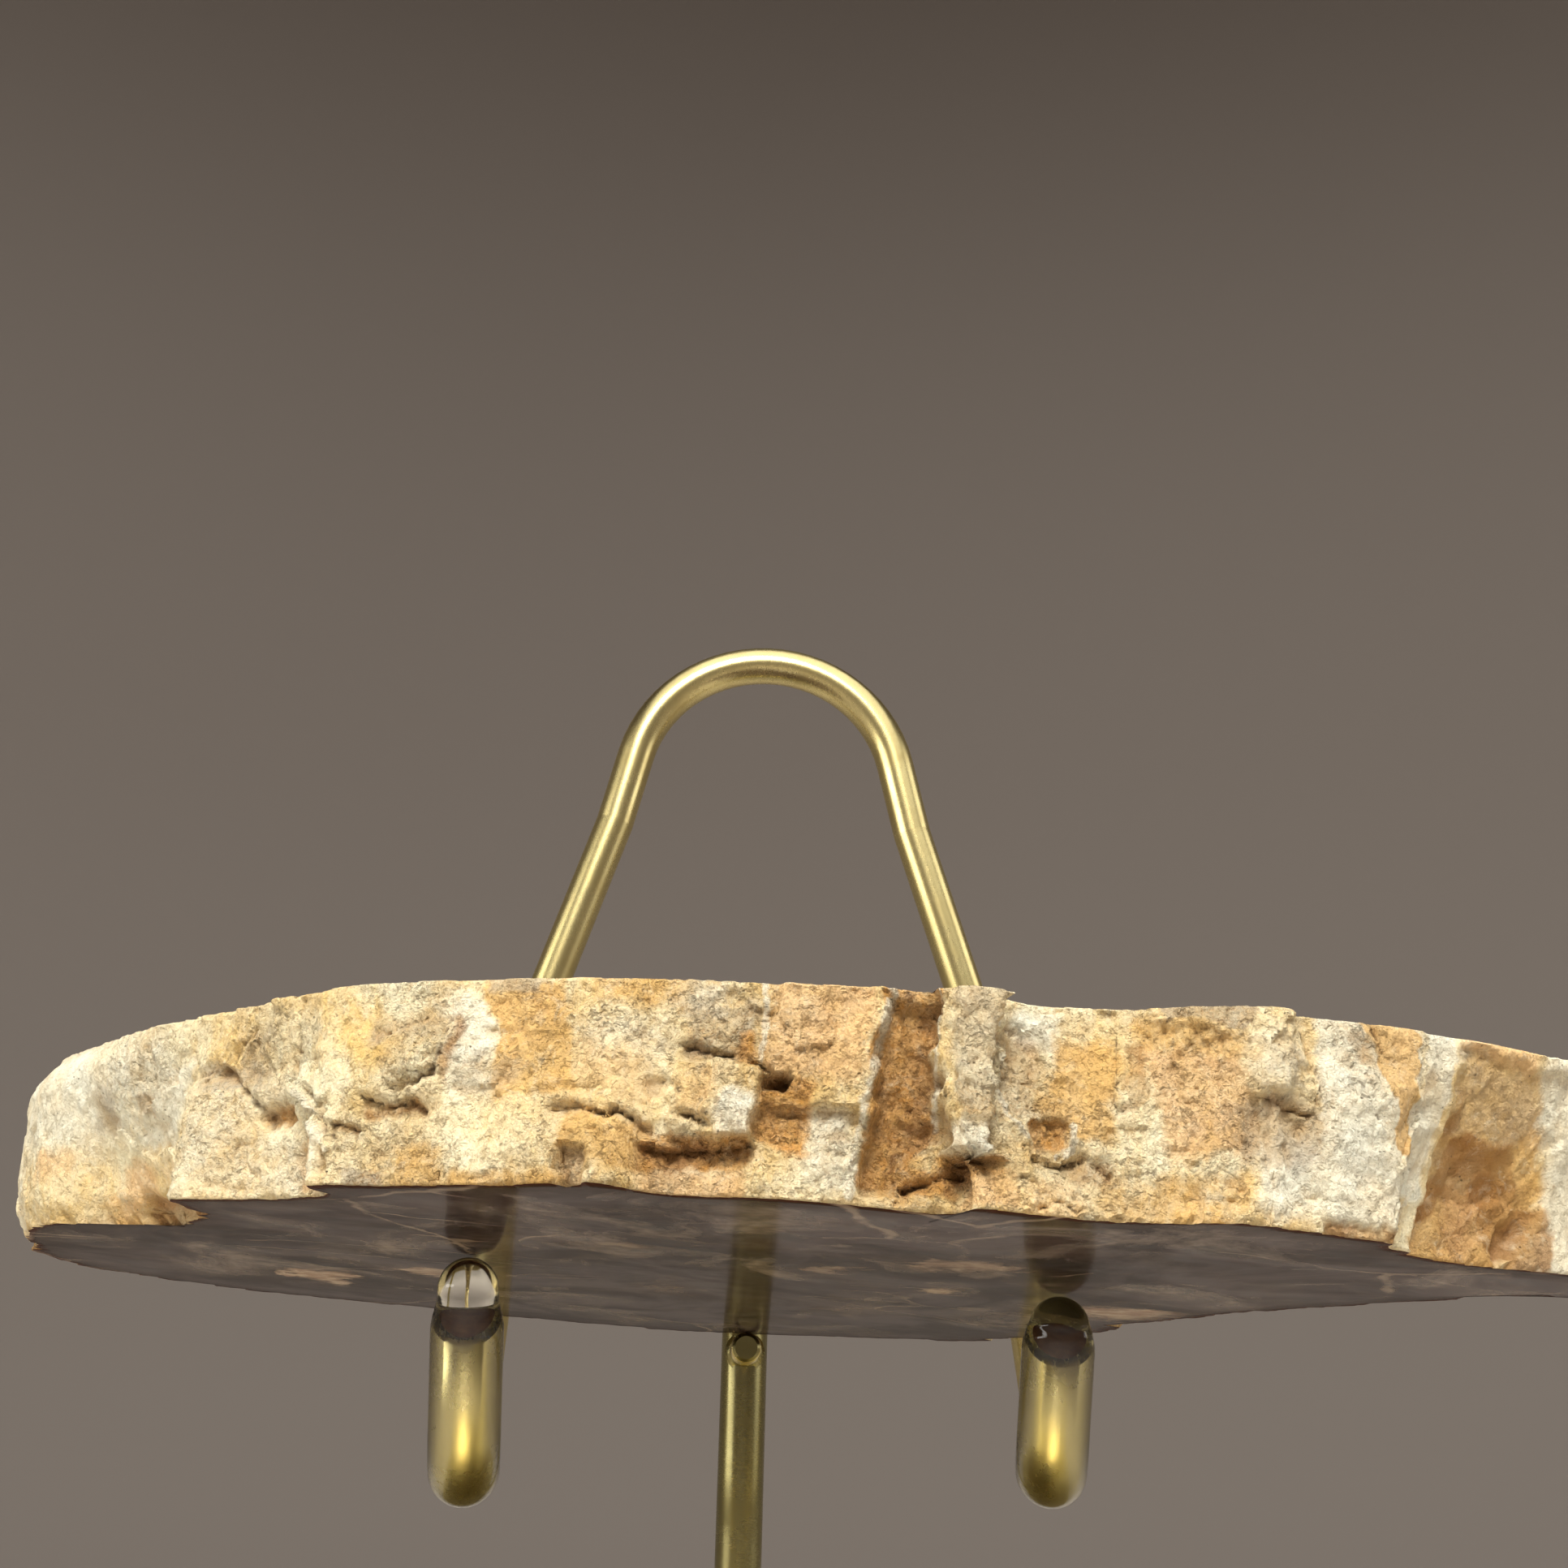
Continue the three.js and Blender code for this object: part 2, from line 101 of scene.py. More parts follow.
class Shader(NodeTree):
    def __init__(self, name):
        self.material = bpy.data.materials.new(name)
        self.material.use_nodes = True
        self.tree = self.material.node_tree
        self.tree.nodes.clear()
        place = self.node("ShaderNodeTexCoord")["Object"]
        self.place = self.vector("SCALE", place, scale=1 / mm)  # millimetres

    def math(self, operation, *values, clamp=False):
        settings = {"operation": operation, "use_clamp": clamp}
        return Value(self, self.node("ShaderNodeMath", settings, dict(enumerate(values)))["Value"])

    def vector(self, operation, a, b=None, scale=None):
        feeds = {0: a, 1: b, "Scale": scale}
        feeds = {key: value for key, value in feeds.items() if value is not None}
        return self.node("ShaderNodeVectorMath", {"operation": operation}, feeds)["Vector"]

    def stretched(self, factors, shift=(0, 0, 0)):
        return self.vector("ADD", self.vector("MULTIPLY", self.place, factors), shift)

    def noise(self, scale, detail=4, roughness=0.55, distortion=0.0, at=None, output="Fac"):
        feeds = {
            "Vector": at or self.place,
            "Scale": scale,
            "Detail": detail,
            "Roughness": roughness,
            "Distortion": distortion,
        }
        made = self.node("ShaderNodeTexNoise", None, feeds)[output]
        return Value(self, made) if output == "Fac" else made

    def cells(self, scale, feature="F1", at=None):
        feeds = {"Vector": at or self.place, "Scale": scale}
        return Value(self, self.node("ShaderNodeTexVoronoi", {"feature": feature}, feeds)["Distance"])

    def facets(self, scale, at):
        # flat chips: each cell of space has its own height and tilt, in millimetres
        cell = self.node("ShaderNodeTexVoronoi", {"feature": "F1"}, {"Vector": at, "Scale": scale})
        gap = self.vector("SUBTRACT", at, cell["Position"])
        lean = self.vector("SUBTRACT", cell["Color"], (0.5, 0.5, 0.5))
        tilt = self.node("ShaderNodeVectorMath", {"operation": "DOT_PRODUCT"}, {0: gap, 1: lean})["Value"]
        return Value(self, tilt) * 1.6 + (Value(self, cell["Color"]) - 0.5) * (0.35 / scale)

    def mask(self, name):
        return Value(self, self.node("ShaderNodeAttribute", {"attribute_name": name})["Fac"])

    def mix(self, factor, a, b, blend="MIX"):
        settings = {"data_type": "RGBA", "blend_type": blend}
        return self.node("ShaderNodeMix", settings, {0: factor, 6: a, 7: b})[2]

    def coats(self, colour, *layers):
        # each coat lies over those before it: where it shows, then its colour
        for factor, coat in layers:
            colour = self.mix(factor, colour, coat)
        return colour

    def bump(self, height, distance, strength=1.0):
        feeds = {"Height": height, "Distance": distance, "Strength": strength}
        return self.node("ShaderNodeBump", None, feeds)["Normal"]

    def axes(self):
        made = self.node("ShaderNodeSeparateXYZ", None, {0: self.place})
        return [Value(self, made[axis]) for axis in "XYZ"]

    def surface(self, feeds):
        shading = self.node("ShaderNodeBsdfPrincipled", None, feeds)["BSDF"]
        self.node("ShaderNodeOutputMaterial", None, {"Surface": shading})
        return self.material


def tint(red, green, blue):
    # a colour as picked on a screen, made linear
    def linear(value):
        value /= 255
        return value / 12.92 if value <= 0.04045 else ((value + 0.055) / 1.055) ** 2.4

    return (linear(red), linear(green), linear(blue), 1.0)


# Number patterns for the stone's surface, on arrays of points in millimetres.
def smooth(value, low, high):
    t = np.clip((value - low) / (high - low), 0, 1)
    return t * t * (3 - 2 * t)


def band(value, low, high, soft):
    rise = smooth(value, low - soft / 2, low + soft / 2)
    return rise - smooth(value, high - soft / 2, high + soft / 2)


def cellNumber(cell, seed):
    # the same number from 0 to 1 every time for one cell of space
    i, j, k = (cell[..., n].astype(np.int64).astype(np.uint32) for n in range(3))
    mixed = i * np.uint32(374761393) ^ j * np.uint32(668265263) ^ k * np.uint32(2246822519)
    mixed = mixed + np.uint32(seed * 97 + 13)
    mixed = (mixed ^ (mixed >> np.uint32(13))) * np.uint32(1274126177)
    mixed = (mixed ^ (mixed >> np.uint32(15))) * np.uint32(2246822519)
    return (mixed ^ (mixed >> np.uint32(16))) / 4294967296.0


def cloud(points, seed):
    # smooth noise from -1 to 1
    cell = np.floor(points)
    inside = points - cell
    inside = inside * inside * (3 - 2 * inside)
    total = 0
    for corner in itertools.product((0, 1), repeat=3):
        share = 1
        for n in range(3):
            share = share * (inside[..., n] if corner[n] else 1 - inside[..., n])
        total = total + share * cellNumber(cell + corner, seed)
    return 2 * total - 1


def clouds(points, octaves, gain, seed):
    total, size = 0, 1
    for n in range(octaves):
        total = total + size * cloud(points * 2**n, seed + n)
        size *= gain
    return total


def chips(points, seed):
    # flat chips: each cell of space has its own height and tilt
    cell = np.floor(points)
    nearest = np.full(points.shape[:-1], 1e9)
    height = np.zeros(points.shape[:-1])
    for step in itertools.product((-1, 0, 1), repeat=3):
        other = cell + step
        jitter = np.stack([cellNumber(other, seed + n) for n in range(3)], axis=-1)
        gap = points - other - jitter
        distance = (gap * gap).sum(axis=-1)
        tilt = [2 * cellNumber(other, seed + 3 + n) - 1 for n in range(4)]
        chip = tilt[3] + sum(tilt[n] * gap[..., n] for n in range(3))
        closer = distance < nearest
        nearest = np.where(closer, distance, nearest)
        height = np.where(closer, chip, height)
    return height


def blurred(grid, reach):
    # box blur twice, round the rim (first axis, closed) and up it
    for _ in range(2):
        wrapped = np.concatenate([grid[-reach:], grid, grid[:reach]])
        sums = np.cumsum(np.concatenate([np.zeros((1, grid.shape[1])), wrapped]), axis=0)
        grid = (sums[2 * reach + 1:] - sums[:-2 * reach - 1]) / (2 * reach + 1)
        edged = np.pad(grid, ((0, 0), (reach, reach)), mode="edge")
        sums = np.cumsum(np.concatenate([np.zeros((grid.shape[0], 1)), edged], axis=1), axis=1)
        grid = (sums[:, 2 * reach + 1:] - sums[:, :-2 * reach - 1]) / (2 * reach + 1)
    return grid


def nearLine(x, z, points):
    # distance in millimetres to a line given by its corners
    best = np.full(x.shape, 1e9)
    for (x0, z0), (x1, z1) in zip(points, points[1:]):
        length = (x1 - x0) ** 2 + (z1 - z0) ** 2
        t = np.clip(((x - x0) * (x1 - x0) + (z - z0) * (z1 - z0)) / length, 0, 1)
        best = np.minimum(best, np.hypot(x - x0 - t * (x1 - x0), z - z0 - t * (z1 - z0)))
    return best


slab = {
    "thickness": 12.0,
    "underside": 45.2,  # height of the underside above the middle of the stand
    "slope": 0.035,  # the right side lies lower
    "frontStep": 0.16,  # spacing of the rim's mesh along the front
    "backStep": 0.46,  # and along the back
    "rows": 60,
    "middle": (-4.0, -10.0),  # roughly the old pith
    "edgeWear": 0.1,  # the polished edge is taken off by this much
    "nicks": (0.4, 0.16),  # and by this much more in its nicks, below and above
    "mostWear": 0.75,
    "broad": 0.3,  # heights of the broken surface, coarse to fine
    "lumps": 0.08,
    "bigChips": 0.15,
    "chips": 0.1,
    "smallChips": 0.06,
    "grit": 0.035,
    "leftWorn": (1.5, 0.9),  # how much the left end is rubbed off above and below
    "ragged": ((0.45, 0.6, 0.5), (1.3, 0.3, 0.26), (3.4, 0.14, 0.14)),  # how edges stray: scale, x, height
    "jointWidth": 0.22,  # the cracks between the back's blocks
    "jointDepth": 0.5,
}

# Upper edge of the slice seen from above, from the left end along the front: x, y, lower edge's setback.
sliceOutline = [
    (-57.3, -5, 0.4), (-56, -13, 0.8), (-53, -20, 1), (-48.6, -26.2, 4.6), (-43.4, -31.2, 4),
    (-40, -34.4, 2.2), (-38, -36.8, 0.2), (-33.8, -41.2, 2.4), (-29.6, -45.4, 3), (-28.2, -47.2, 0),
    (-23, -50.2, 0.2), (-17.7, -52.3, 0), (-12.6, -53.9, -1.6), (-10.4, -54.4, -1.8), (-7.8, -54.9, 1.2),
    (-2, -55.5, 1), (4.8, -56, 2.2), (7.6, -56.1, 3.2), (10.3, -57.1, 1.6), (12.2, -55.6, 0),
    (14.5, -55, 0), (19.1, -55.4, 0.4), (23.2, -57.4, 0.8), (27, -58.2, 1.6), (28.6, -56.7, 0.8),
    (32.8, -55.7, 2), (35.4, -55.2, 2.4), (36.6, -54.5, 3.5), (40.3, -53.0, 4.8), (45.7, -50.4, 4.4),
    (51.3, -45.8, 2.3), (55.8, -41.8, 0.8), (58, -38, 0), (55.2, -35.6, 0.4), (51.3, -33.6, 0.6),
    (47.6, -30, 0.4), (42.4, -22.8, 0), (36.2, -13, 0.4), (34, -4.6, 0.8), (30.6, 3, 0.4),
    (26, 15.6, 0), (20, 24.4, 0.5), (9.8, 30, 0.3), (0, 33.3, 0), (-9.4, 34.9, 0),
    (-17.4, 33.6, 0.4), (-26.3, 30.9, 0.6), (-35, 26, 0.2), (-45, 21, 0), (-52, 16, 0.5),
    (-55.9, 9.6, 0.4), (-57.7, 2.4, 0.2),
]

# Ledges and hollows of the front: x from, to, height from, to, how far proud, shoulder, lean.
frontRelief = [
    (-47, -40.5, -1, 1.6, -1.6, 0.8, 0), (-39, -29.6, -1, 7.4, 0.6, 1.4, 0),
    (-42, -39.4, -1, 2.6, 0.5, 0.8, 0), (-33.4, -31.2, 4.2, 5.6, -0.6, 0.9, 0),
    (-29.3, -28.6, 0.4, 5.4, -0.6, 0.3, -0.3), (-26, -20.5, 5.2, 9, 0.5, 1.6, 0),
    (-13.2, -11.2, -1, 1.8, -1.0, 0.6, 0), (-8.6, -7.4, 5.4, 6.4, -0.4, 0.7, 0),
    (-7.2, -2.0, 3.0, 7.5, 0.55, 0.4, 0), (-5.0, -2.0, 3.0, 7.5, 0.6, 0.4, 0),
    (-1.9, -0.2, 6.2, 7.0, -1.5, 0.4, 0), (-1.9, 4.4, 5.0, 13, 0.7, 0.5, 0.1),
    (-1.9, 0.8, 2.8, 6.0, -0.3, 0.8, 0), (4.4, 7.4, 0.6, 11.5, -0.8, 0.6, 0.14),
    (8.0, 11.2, 3.1, 13, 1.1, 0.5, 0), (9.2, 11.0, 4.8, 13, 0.35, 0.5, 0),
    (7.9, 9.4, 3.2, 6.6, 0.4, 0.6, 0), (11.7, 14.1, 5.6, 10.4, -0.6, 1.0, -0.1),
    (13.2, 15.5, 3.3, 5.2, -0.8, 0.9, 0), (16, 18, 1.6, 3.4, -0.4, 1.2, 0),
    (18.1, 19.4, 6.2, 9.6, -0.3, 0.4, 0), (19.4, 24.2, 10.6, 13, 0.25, 0.3, 0),
    (20, 24.4, -1, 2.4, -0.4, 1.4, 0), (25.2, 29.0, 6.9, 13, 0.3, 0.9, -0.15),
    (24.8, 29.3, 3.6, 6.9, -0.35, 1.6, 0.1), (29.3, 35.2, -1, 9, 0.9, 2.2, 0),
    (29.4, 36.2, -1, 0.8, -0.45, 0.7, 0), (38.7, 47.4, 3.5, 11.3, -0.5, 0.5, 0),
    (39.8, 48, -1, 3.6, -0.5, 0.5, 0.35), (40.2, 44.6, 3.2, 6.2, -0.3, 1.6, 0),
    (45.4, 46.8, 0, 2.4, -0.6, 0.8, 0),
]

# Ledges, cracks and veins of the front: width, depth or height, corners as x and height.
frontLines = {
    "ledge": [
        (0.8, 0.55, [(-27.4, 3.9), (-26.2, 3.6), (-25.0, 3.5)]),
        (0.9, 0.65, [(-25.4, 5.3), (-23.7, 4.8), (-22.5, 5.1), (-21.3, 4.5)]),
        (0.6, 0.35, [(-24.0, 5.9), (-22.4, 6.3), (-20.8, 6.8)]),
        (0.8, 0.4, [(-38.4, 7.4), (-36.2, 8.4), (-34.6, 7.0), (-33.0, 5.6), (-31.4, 5.5)]),
        (1.0, 0.6, [(-14.0, 4.4), (-11.8, 4.5), (-10.5, 4.1), (-9.7, 4.4), (-8.3, 3.5)]),
        (1.1, 1.15, [(-9.4, 2.8), (-7.2, 2.6), (-4.6, 2.9), (-2.0, 3.1)]),
        (0.7, 0.4, [(-6.9, 8.5), (-4.8, 8.2), (-2.8, 7.7), (-1.8, 7.3)]),
        (0.4, 0.6, [(-6.7, 4.5), (-5.6, 4.4), (-4.6, 3.9)]),
        (0.6, 1.3, [(-2.0, 7.2), (-1.0, 7.0), (0.0, 6.7)]),
        (0.9, 2.2, [(7.7, 2.9), (9.4, 3.0), (11.0, 3.1), (12.2, 2.6)]),
        (0.7, 0.6, [(13.2, 3.3), (14.8, 3.0), (16.4, 3.4)]),
        (1.3, 0.42, [(24.6, 7.1), (26.0, 7.3), (27.4, 7.0), (29.2, 6.6)]),
        (0.9, 0.25, [(19.2, 10.4), (20.6, 10.9), (22.2, 10.2), (24.4, 10.7)]),
        (0.5, 0.3, [(-18.6, 9.4), (-17.0, 9.0), (-15.6, 9.5)]),
        (0.6, 0.3, [(-1.4, 9.6), (0.4, 9.9), (2.2, 9.3)]),
        (0.6, 0.3, [(20.2, 4.4), (21.8, 4.0), (23.0, 4.3)]),
    ],
    "crack": [
        # the cracks that run just under a ledge, those from (25.4, 7.0), (-38.2, 8.1), (-25.2, 5.1),
        # (-23.6, 5.6), (-27.3, 3.7), (-6.9, 8.2), (-6.5, 4.4), (-13.7, 4.4) and (13.4, 3.2), are cut in as
        # grooves and painted dark as the ledge's shadow line; the others are cracks
        (0.16, 0.35, [(25.4, 7.0), (26.8, 7.2), (28.0, 6.8), (29.0, 6.4)]),
        (0.16, 0.4, [(-30.3, 11.7), (-30.8, 9), (-31.1, 6.3)]),
        (0.22, 0.4, [(-34, 10.6), (-35, 9.5), (-35.8, 8.6)]),
        (0.28, 0.35, [(-38.2, 8.1), (-36.2, 8.3), (-35, 7.2), (-33.4, 5.4), (-33, 4.2)]),
        (0.2, 0.4, [(-30.2, 6.1), (-28.4, 4.2), (-26.8, 2.7)]),
        (0.16, 0.3, [(-25.2, 5.1), (-23.6, 4.6), (-22.6, 4.9), (-21.6, 4.3)]),
        (0.22, 0.5, [(-23.6, 5.6), (-22.4, 6.0), (-21, 6.6)]),
        (0.16, 0.3, [(-27.3, 3.7), (-26.2, 3.4), (-25.1, 3.3)]),
        (0.16, 0.3, [(-24.4, 8.8), (-23.2, 9.1), (-22, 9.6)]),
        (0.2, 0.25, [(-20.3, 9.7), (-20.8, 8), (-21, 6.3)]),
        (0.18, 0.55, [(-6.9, 8.2), (-4.8, 7.9), (-2.8, 7.3), (-1.7, 7.0)]),
        (0.14, 0.3, [(-7.7, 6.1), (-6.9, 6.2), (-6.6, 5.2)]),
        (0.24, 0.6, [(-6.5, 4.4), (-5.6, 4.3), (-4.8, 3.7)]),
        (0.26, 0.5, [(-13.7, 4.4), (-11.8, 4.4), (-10.5, 4.0), (-9.7, 4.3), (-8.3, 3.3)]),
        (0.18, 0.4, [(13.4, 3.2), (14.8, 2.9), (16.3, 3.3)]),
        (0.22, 0.7, [(6.4, 1.1), (7.2, 1.6), (8.2, 2.1)]), (0.24, 0.7, [(17.3, 2.9), (17.5, 2.6)]),
        (0.13, 0.25, [(17.9, 10.8), (18.1, 8.5), (18.0, 6.4)]),
        (0.15, 0.4, [(13.9, 0.2), (14.6, 0.8), (15.4, 0.7), (16.1, 0.2)]),
        (0.14, 0.3, [(28.2, 11.6), (29.0, 9.6), (29.4, 8.2), (29.2, 6.9)]),
        (0.12, 0.2, [(24.9, 7.6), (26.4, 7.3), (27.6, 7.2)]), (0.2, 0.4, [(32.7, 11.7), (33.2, 10.5)]),
        (0.14, 0.2, [(29.6, 6.9), (30.3, 6.4), (30.9, 6.3)]),
    ],
    "vein": [
        (0.3, 0.5, [(-30.9, 6.2), (-29.2, 4.3), (-27.2, 2.2)]),
        (0.25, 0.15, [(-2.1, 12), (-2.0, 9.5), (-2.2, 7.4)]),
        (0.32, 0.4, [(5.1, 12), (4.5, 9), (3.8, 6), (3.4, 3), (3.1, 0.4)]),
        (0.2, 0.4, [(8.0, 12), (7.7, 8.5), (7.4, 4.6)]),
        (0.16, 0.25, [(11.2, 11.6), (11.4, 7.5), (12.2, 5.4), (13.0, 4.2)]),
        (0.25, 0.3, [(14.9, 3.2), (15.7, 3.9), (15.8, 5.1)]),
        (0.22, 0.2, [(29.6, 7.4), (29.5, 6.4), (29.8, 5.2)]),
        (0.16, 0.08, [(37.9, 10.5), (37.8, 7.5), (37.5, 4.2), (37.0, 2.0), (36.2, 0)]),
    ],
}

# Colour zones of the front by tone: x from, to, height from, to, strength, shoulder, lean.
frontTones = {
    "chalk": [
        (-64, -55, -1, 8, 0.6, 1.4, 0), (-64, -46, 5, 14, 0.9, 3, 0), (-62, -40, 4, 13, 0.6, 3, 0),
        (-44.6, -40.6, 4.4, 9.2, 0.85, 1, 0.6), (-39, -30, -1, 8, 0.45, 2, 0),
        (-30, -27.6, 0, 4, 0.5, 0.6, 0), (-20.6, -17.1, 5, 11.6, 0.6, 1.0, -0.2),
        (-12.6, -7.6, 5, 10, 0.45, 1.5, 0), (-7.6, -4, 9.9, 12.4, 0.55, 0.7, 0),
        (-4.2, -2.0, 3, 6, 0.8, 0.6, 0), (0.6, 3.4, 0.6, 5, 0.6, 0.8, 0),
        (7.9, 11.3, 3.0, 4.7, 0.8, 0.5, 0), (12.5, 15, 9, 11.6, 0.8, 0.8, 0),
        (25.4, 36, 0.6, 5.2, 0.9, 1.5, 0), (25.6, 29.2, 7.4, 11, 0.4, 1, -0.15),
        (29.2, 35.6, 0.8, 13, 1.0, 0.5, 0), (35.9, 38.2, 3.0, 13, 0.9, 0.4, 0),
        (44.8, 64, 7, 13, 0.85, 0.8, 0), (47.2, 64, -1, 8, 0.9, 0.5, 0),
    ],
    "ochre": [
        (-50, -46.4, -1, 1.6, 0.6, 0.8, 0), (-23.2, -20.4, -1, 2.6, 0.7, 0.8, 0),
        (-20, -11, -1, 0.8, 0.7, 0.5, 0), (-17.3, -12.3, 4.8, 12, 1.0, 0.5, -0.22),
        (-13.8, -8, 4.5, 8.2, 0.55, 1.4, 0), (-13.4, -8.2, 0.9, 4.2, 0.8, 0.7, 0),
        (-12.2, -6, 10.3, 12.4, 0.65, 0.7, 0), (4.2, 7.4, 0.2, 3, 0.7, 0.6, 0),
        (14.3, 17.7, 4.4, 9.9, 0.95, 0.8, 0.05), (17.4, 20.4, -1, 2.4, 0.6, 1, 0),
        (19.4, 26, 8.8, 11.4, 0.65, 0.8, -0.15), (19.8, 24.8, -1, 3.0, 0.6, 0.8, 0),
        (33.5, 35.4, 8.4, 13, 1.0, 0.25, 0), (34.3, 36.0, 5.0, 9, 1.0, 0.3, -0.1),
        (34.5, 36.2, 8.0, 13, 1.0, 0.25, -0.44), (38.8, 45.4, 6.2, 11.3, 0.6, 0.6, 0),
        (39.6, 47.4, -1, 4.4, 1.0, 0.6, 0.35), (42.6, 46.8, 2.4, 8, 0.8, 0.7, -0.1),
    ],
    "peach": [
        (-53, -50.6, 2.8, 5.0, 0.6, 0.6, 0.3), (-47.6, -43.4, 0.6, 3.6, 0.7, 0.8, 0.3),
        (-43.4, -39.4, 0.3, 3.4, 0.5, 1.2, 0), (-31, -28.8, 0.2, 3, 0.7, 0.4, 0),
        (-8.5, -2.5, -1, 1.5, 0.7, 0.5, 0), (-7, -4.2, 3.6, 7.4, 0.4, 1, 0),
        (-2, 4.2, 6.6, 12.4, 0.7, 1, 0), (8.8, 12.6, 0.1, 2.2, 0.85, 0.5, 0),
        (12.8, 17, -1, 2.4, 0.5, 1, 0), (19.6, 25.6, 3.6, 9.4, 0.8, 0.8, -0.15),
        (38.6, 44.4, 10.9, 13, 0.7, 0.4, 0), (40.2, 43.4, 0.4, 5.4, 0.6, 0.8, -0.2),
    ],
    "grey": [
        (-49.6, -46.8, 5.6, 8.4, 0.6, 0.8, 0.5), (-44.5, -43, 6.4, 7.8, 0.8, 0.5, 0),
        (-38.6, -33, 6.8, 8.6, 0.6, 0.5, 0), (-36.4, -34.4, 8.4, 10.6, 0.5, 0.5, 0.5),
        (-26.2, -23.4, -1, 1, 0.8, 0.3, 0), (-25, -21, 8.3, 10, 0.6, 0.7, 0),
        (-20, -15.6, 5, 7.4, 0.5, 1, 0), (-18.3, -14.6, 11.3, 13, 0.8, 0.3, 0),
        (-13.1, -11.2, -1, 1.8, 0.7, 0.4, 0), (-6.9, -2.3, 7.6, 10.8, 0.6, 0.7, 0),
        (8.9, 11.2, 4.6, 12.6, 0.6, 0.5, 0), (19.4, 24.4, 11.1, 13, 1.0, 0.2, 0.2),
        # the first grey zone here, under the nose's ledge from x 24.6 to 29.6, is painted shadow
        (24.6, 29.6, 3.2, 7.0, 1.0, 0.7, 0.1), (25.4, 28.8, 7, 10, 0.45, 0.8, -0.15),
        (32.6, 33.8, 9.4, 11.8, 0.75, 0.3, -0.3), (35.9, 36.9, 8.7, 9.9, 0.95, 0.3, 0),
        (38.2, 39.0, 10.4, 11.2, 0.7, 0.3, 0), (39.0, 44.8, 6.6, 11, 0.45, 0.8, 0),
    ],
    "rust": [
        (-33.3, -31, 4.2, 5.5, 0.7, 0.4, 0), (-9, -2.2, 1.4, 3, 1.0, 0.4, 0),
        (-3.5, -2.3, 7.4, 9, 0.8, 0.4, 0), (-1.9, 1, 2.7, 6.6, 0.9, 0.5, 0),
        (4.0, 7.5, 1, 12.4, 0.8, 0.3, 0.14), (6.2, 8.4, 0.9, 2.2, 0.9, 0.3, 0),
        (7.8, 12, 1.9, 3, 0.8, 0.3, 0), (13.1, 15.4, 3.5, 5.2, 1.0, 0.5, 0),
    ],
    "umber": [
        # the umber zones from x -27.3 to -25.1 and from -25.2 to -21.4 lie just under ledges and are
        # painted shadow
        (-42.2, -39.4, -1, 1.1, 0.7, 0.5, 0), (-27.3, -25.1, 3.0, 3.7, 0.6, 0.3, 0),
        (-25.2, -21.4, 4.2, 5.0, 0.7, 0.4, 0), (-20.9, -20.1, 6.2, 9.8, 0.6, 0.3, 0.05),
        (11.8, 14.3, 5.2, 9.9, 0.45, 0.6, -0.1), (16, 18.2, 1.4, 3.2, 0.5, 0.6, 0),
        (18.3, 19.5, 6.2, 9.8, 0.5, 0.2, 0), (29.4, 35.8, -1, 0.8, 0.65, 0.4, 0),
        (38.9, 40.0, 4.6, 9.4, 0.6, 0.5, 0), (39.6, 41.4, 2.0, 6.8, 1.0, 0.5, 0.35),
        (40, 46.6, -1, 5, 0.42, 1, 0), (40.4, 43.2, 5.0, 7.2, 1.0, 0.5, 0),
        (42.0, 44.6, 0.4, 6.8, 1.0, 0.6, -0.45), (45.0, 47.0, -1, 3.2, 1.0, 0.5, -0.2),
    ],
}

# The back of the rim breaks into blocks between upright joints.
backRim = {"seed": 11, "from": 8, "to": 200, "widths": (4.5, 10), "out": 1.8, "ledge": 2.0, "soft": 0.5}


def evenDraws(seed):
    # numbers from 0 to 1, the same on every run
    while True:
        seed = (seed * 1664525 + 1013904223) % 4294967296
        yield seed / 4294967296


def backBlocks():
    draw = evenDraws(backRim["seed"])
    low, high = backRim["widths"]
    blocks = []
    at = backRim["from"]
    while at < backRim["to"]:
        width = low + (high - low) * next(draw)
        end = min(at + width, backRim["to"])
        split = slab["thickness"] * (0.2 + 0.6 * next(draw))
        whole = backRim["out"] * (next(draw) - 0.5)
        ledge = backRim["ledge"] * (next(draw) - 0.6)
        blocks.append((at, end, split, whole, ledge))
        at += width
    return blocks


def roundedLoop(rows, samples):
    # centripetal Catmull-Rom through the rows, closed, then evenly spaced
    rows = np.array(rows, float)
    t = np.linspace(0, 1, 60, endpoint=False)[:, None]
    pieces = []
    for i in range(len(rows)):
        corners = [rows[(i + n) % len(rows)] for n in (-1, 0, 1, 2)]
        steps = [math.sqrt(np.linalg.norm(b - a)) for a, b in zip(corners, corners[1:])]
        knots = np.cumsum([0] + steps)
        u = knots[1] + t * (knots[2] - knots[1])

        def blend(a, b, low, high):
            share = (u - knots[low]) / (knots[high] - knots[low])
            return (1 - share) * a + share * b

        first, second, third = (blend(corners[n], corners[n + 1], n, n + 1) for n in range(3))
        pieces.append(blend(blend(first, second, 0, 2), blend(second, third, 1, 3), 1, 2))
    fine = np.concatenate(pieces)
    closed = np.concatenate([fine, fine[:1]])
    travelled = np.concatenate([[0], np.cumsum(np.hypot(*np.diff(closed[:, :2], axis=0).T))])
    even = np.linspace(0, travelled[-1], samples, endpoint=False)
    loop = np.stack([np.interp(even, travelled, closed[:, n]) for n in range(3)], axis=1)
    return loop, even, travelled[-1]


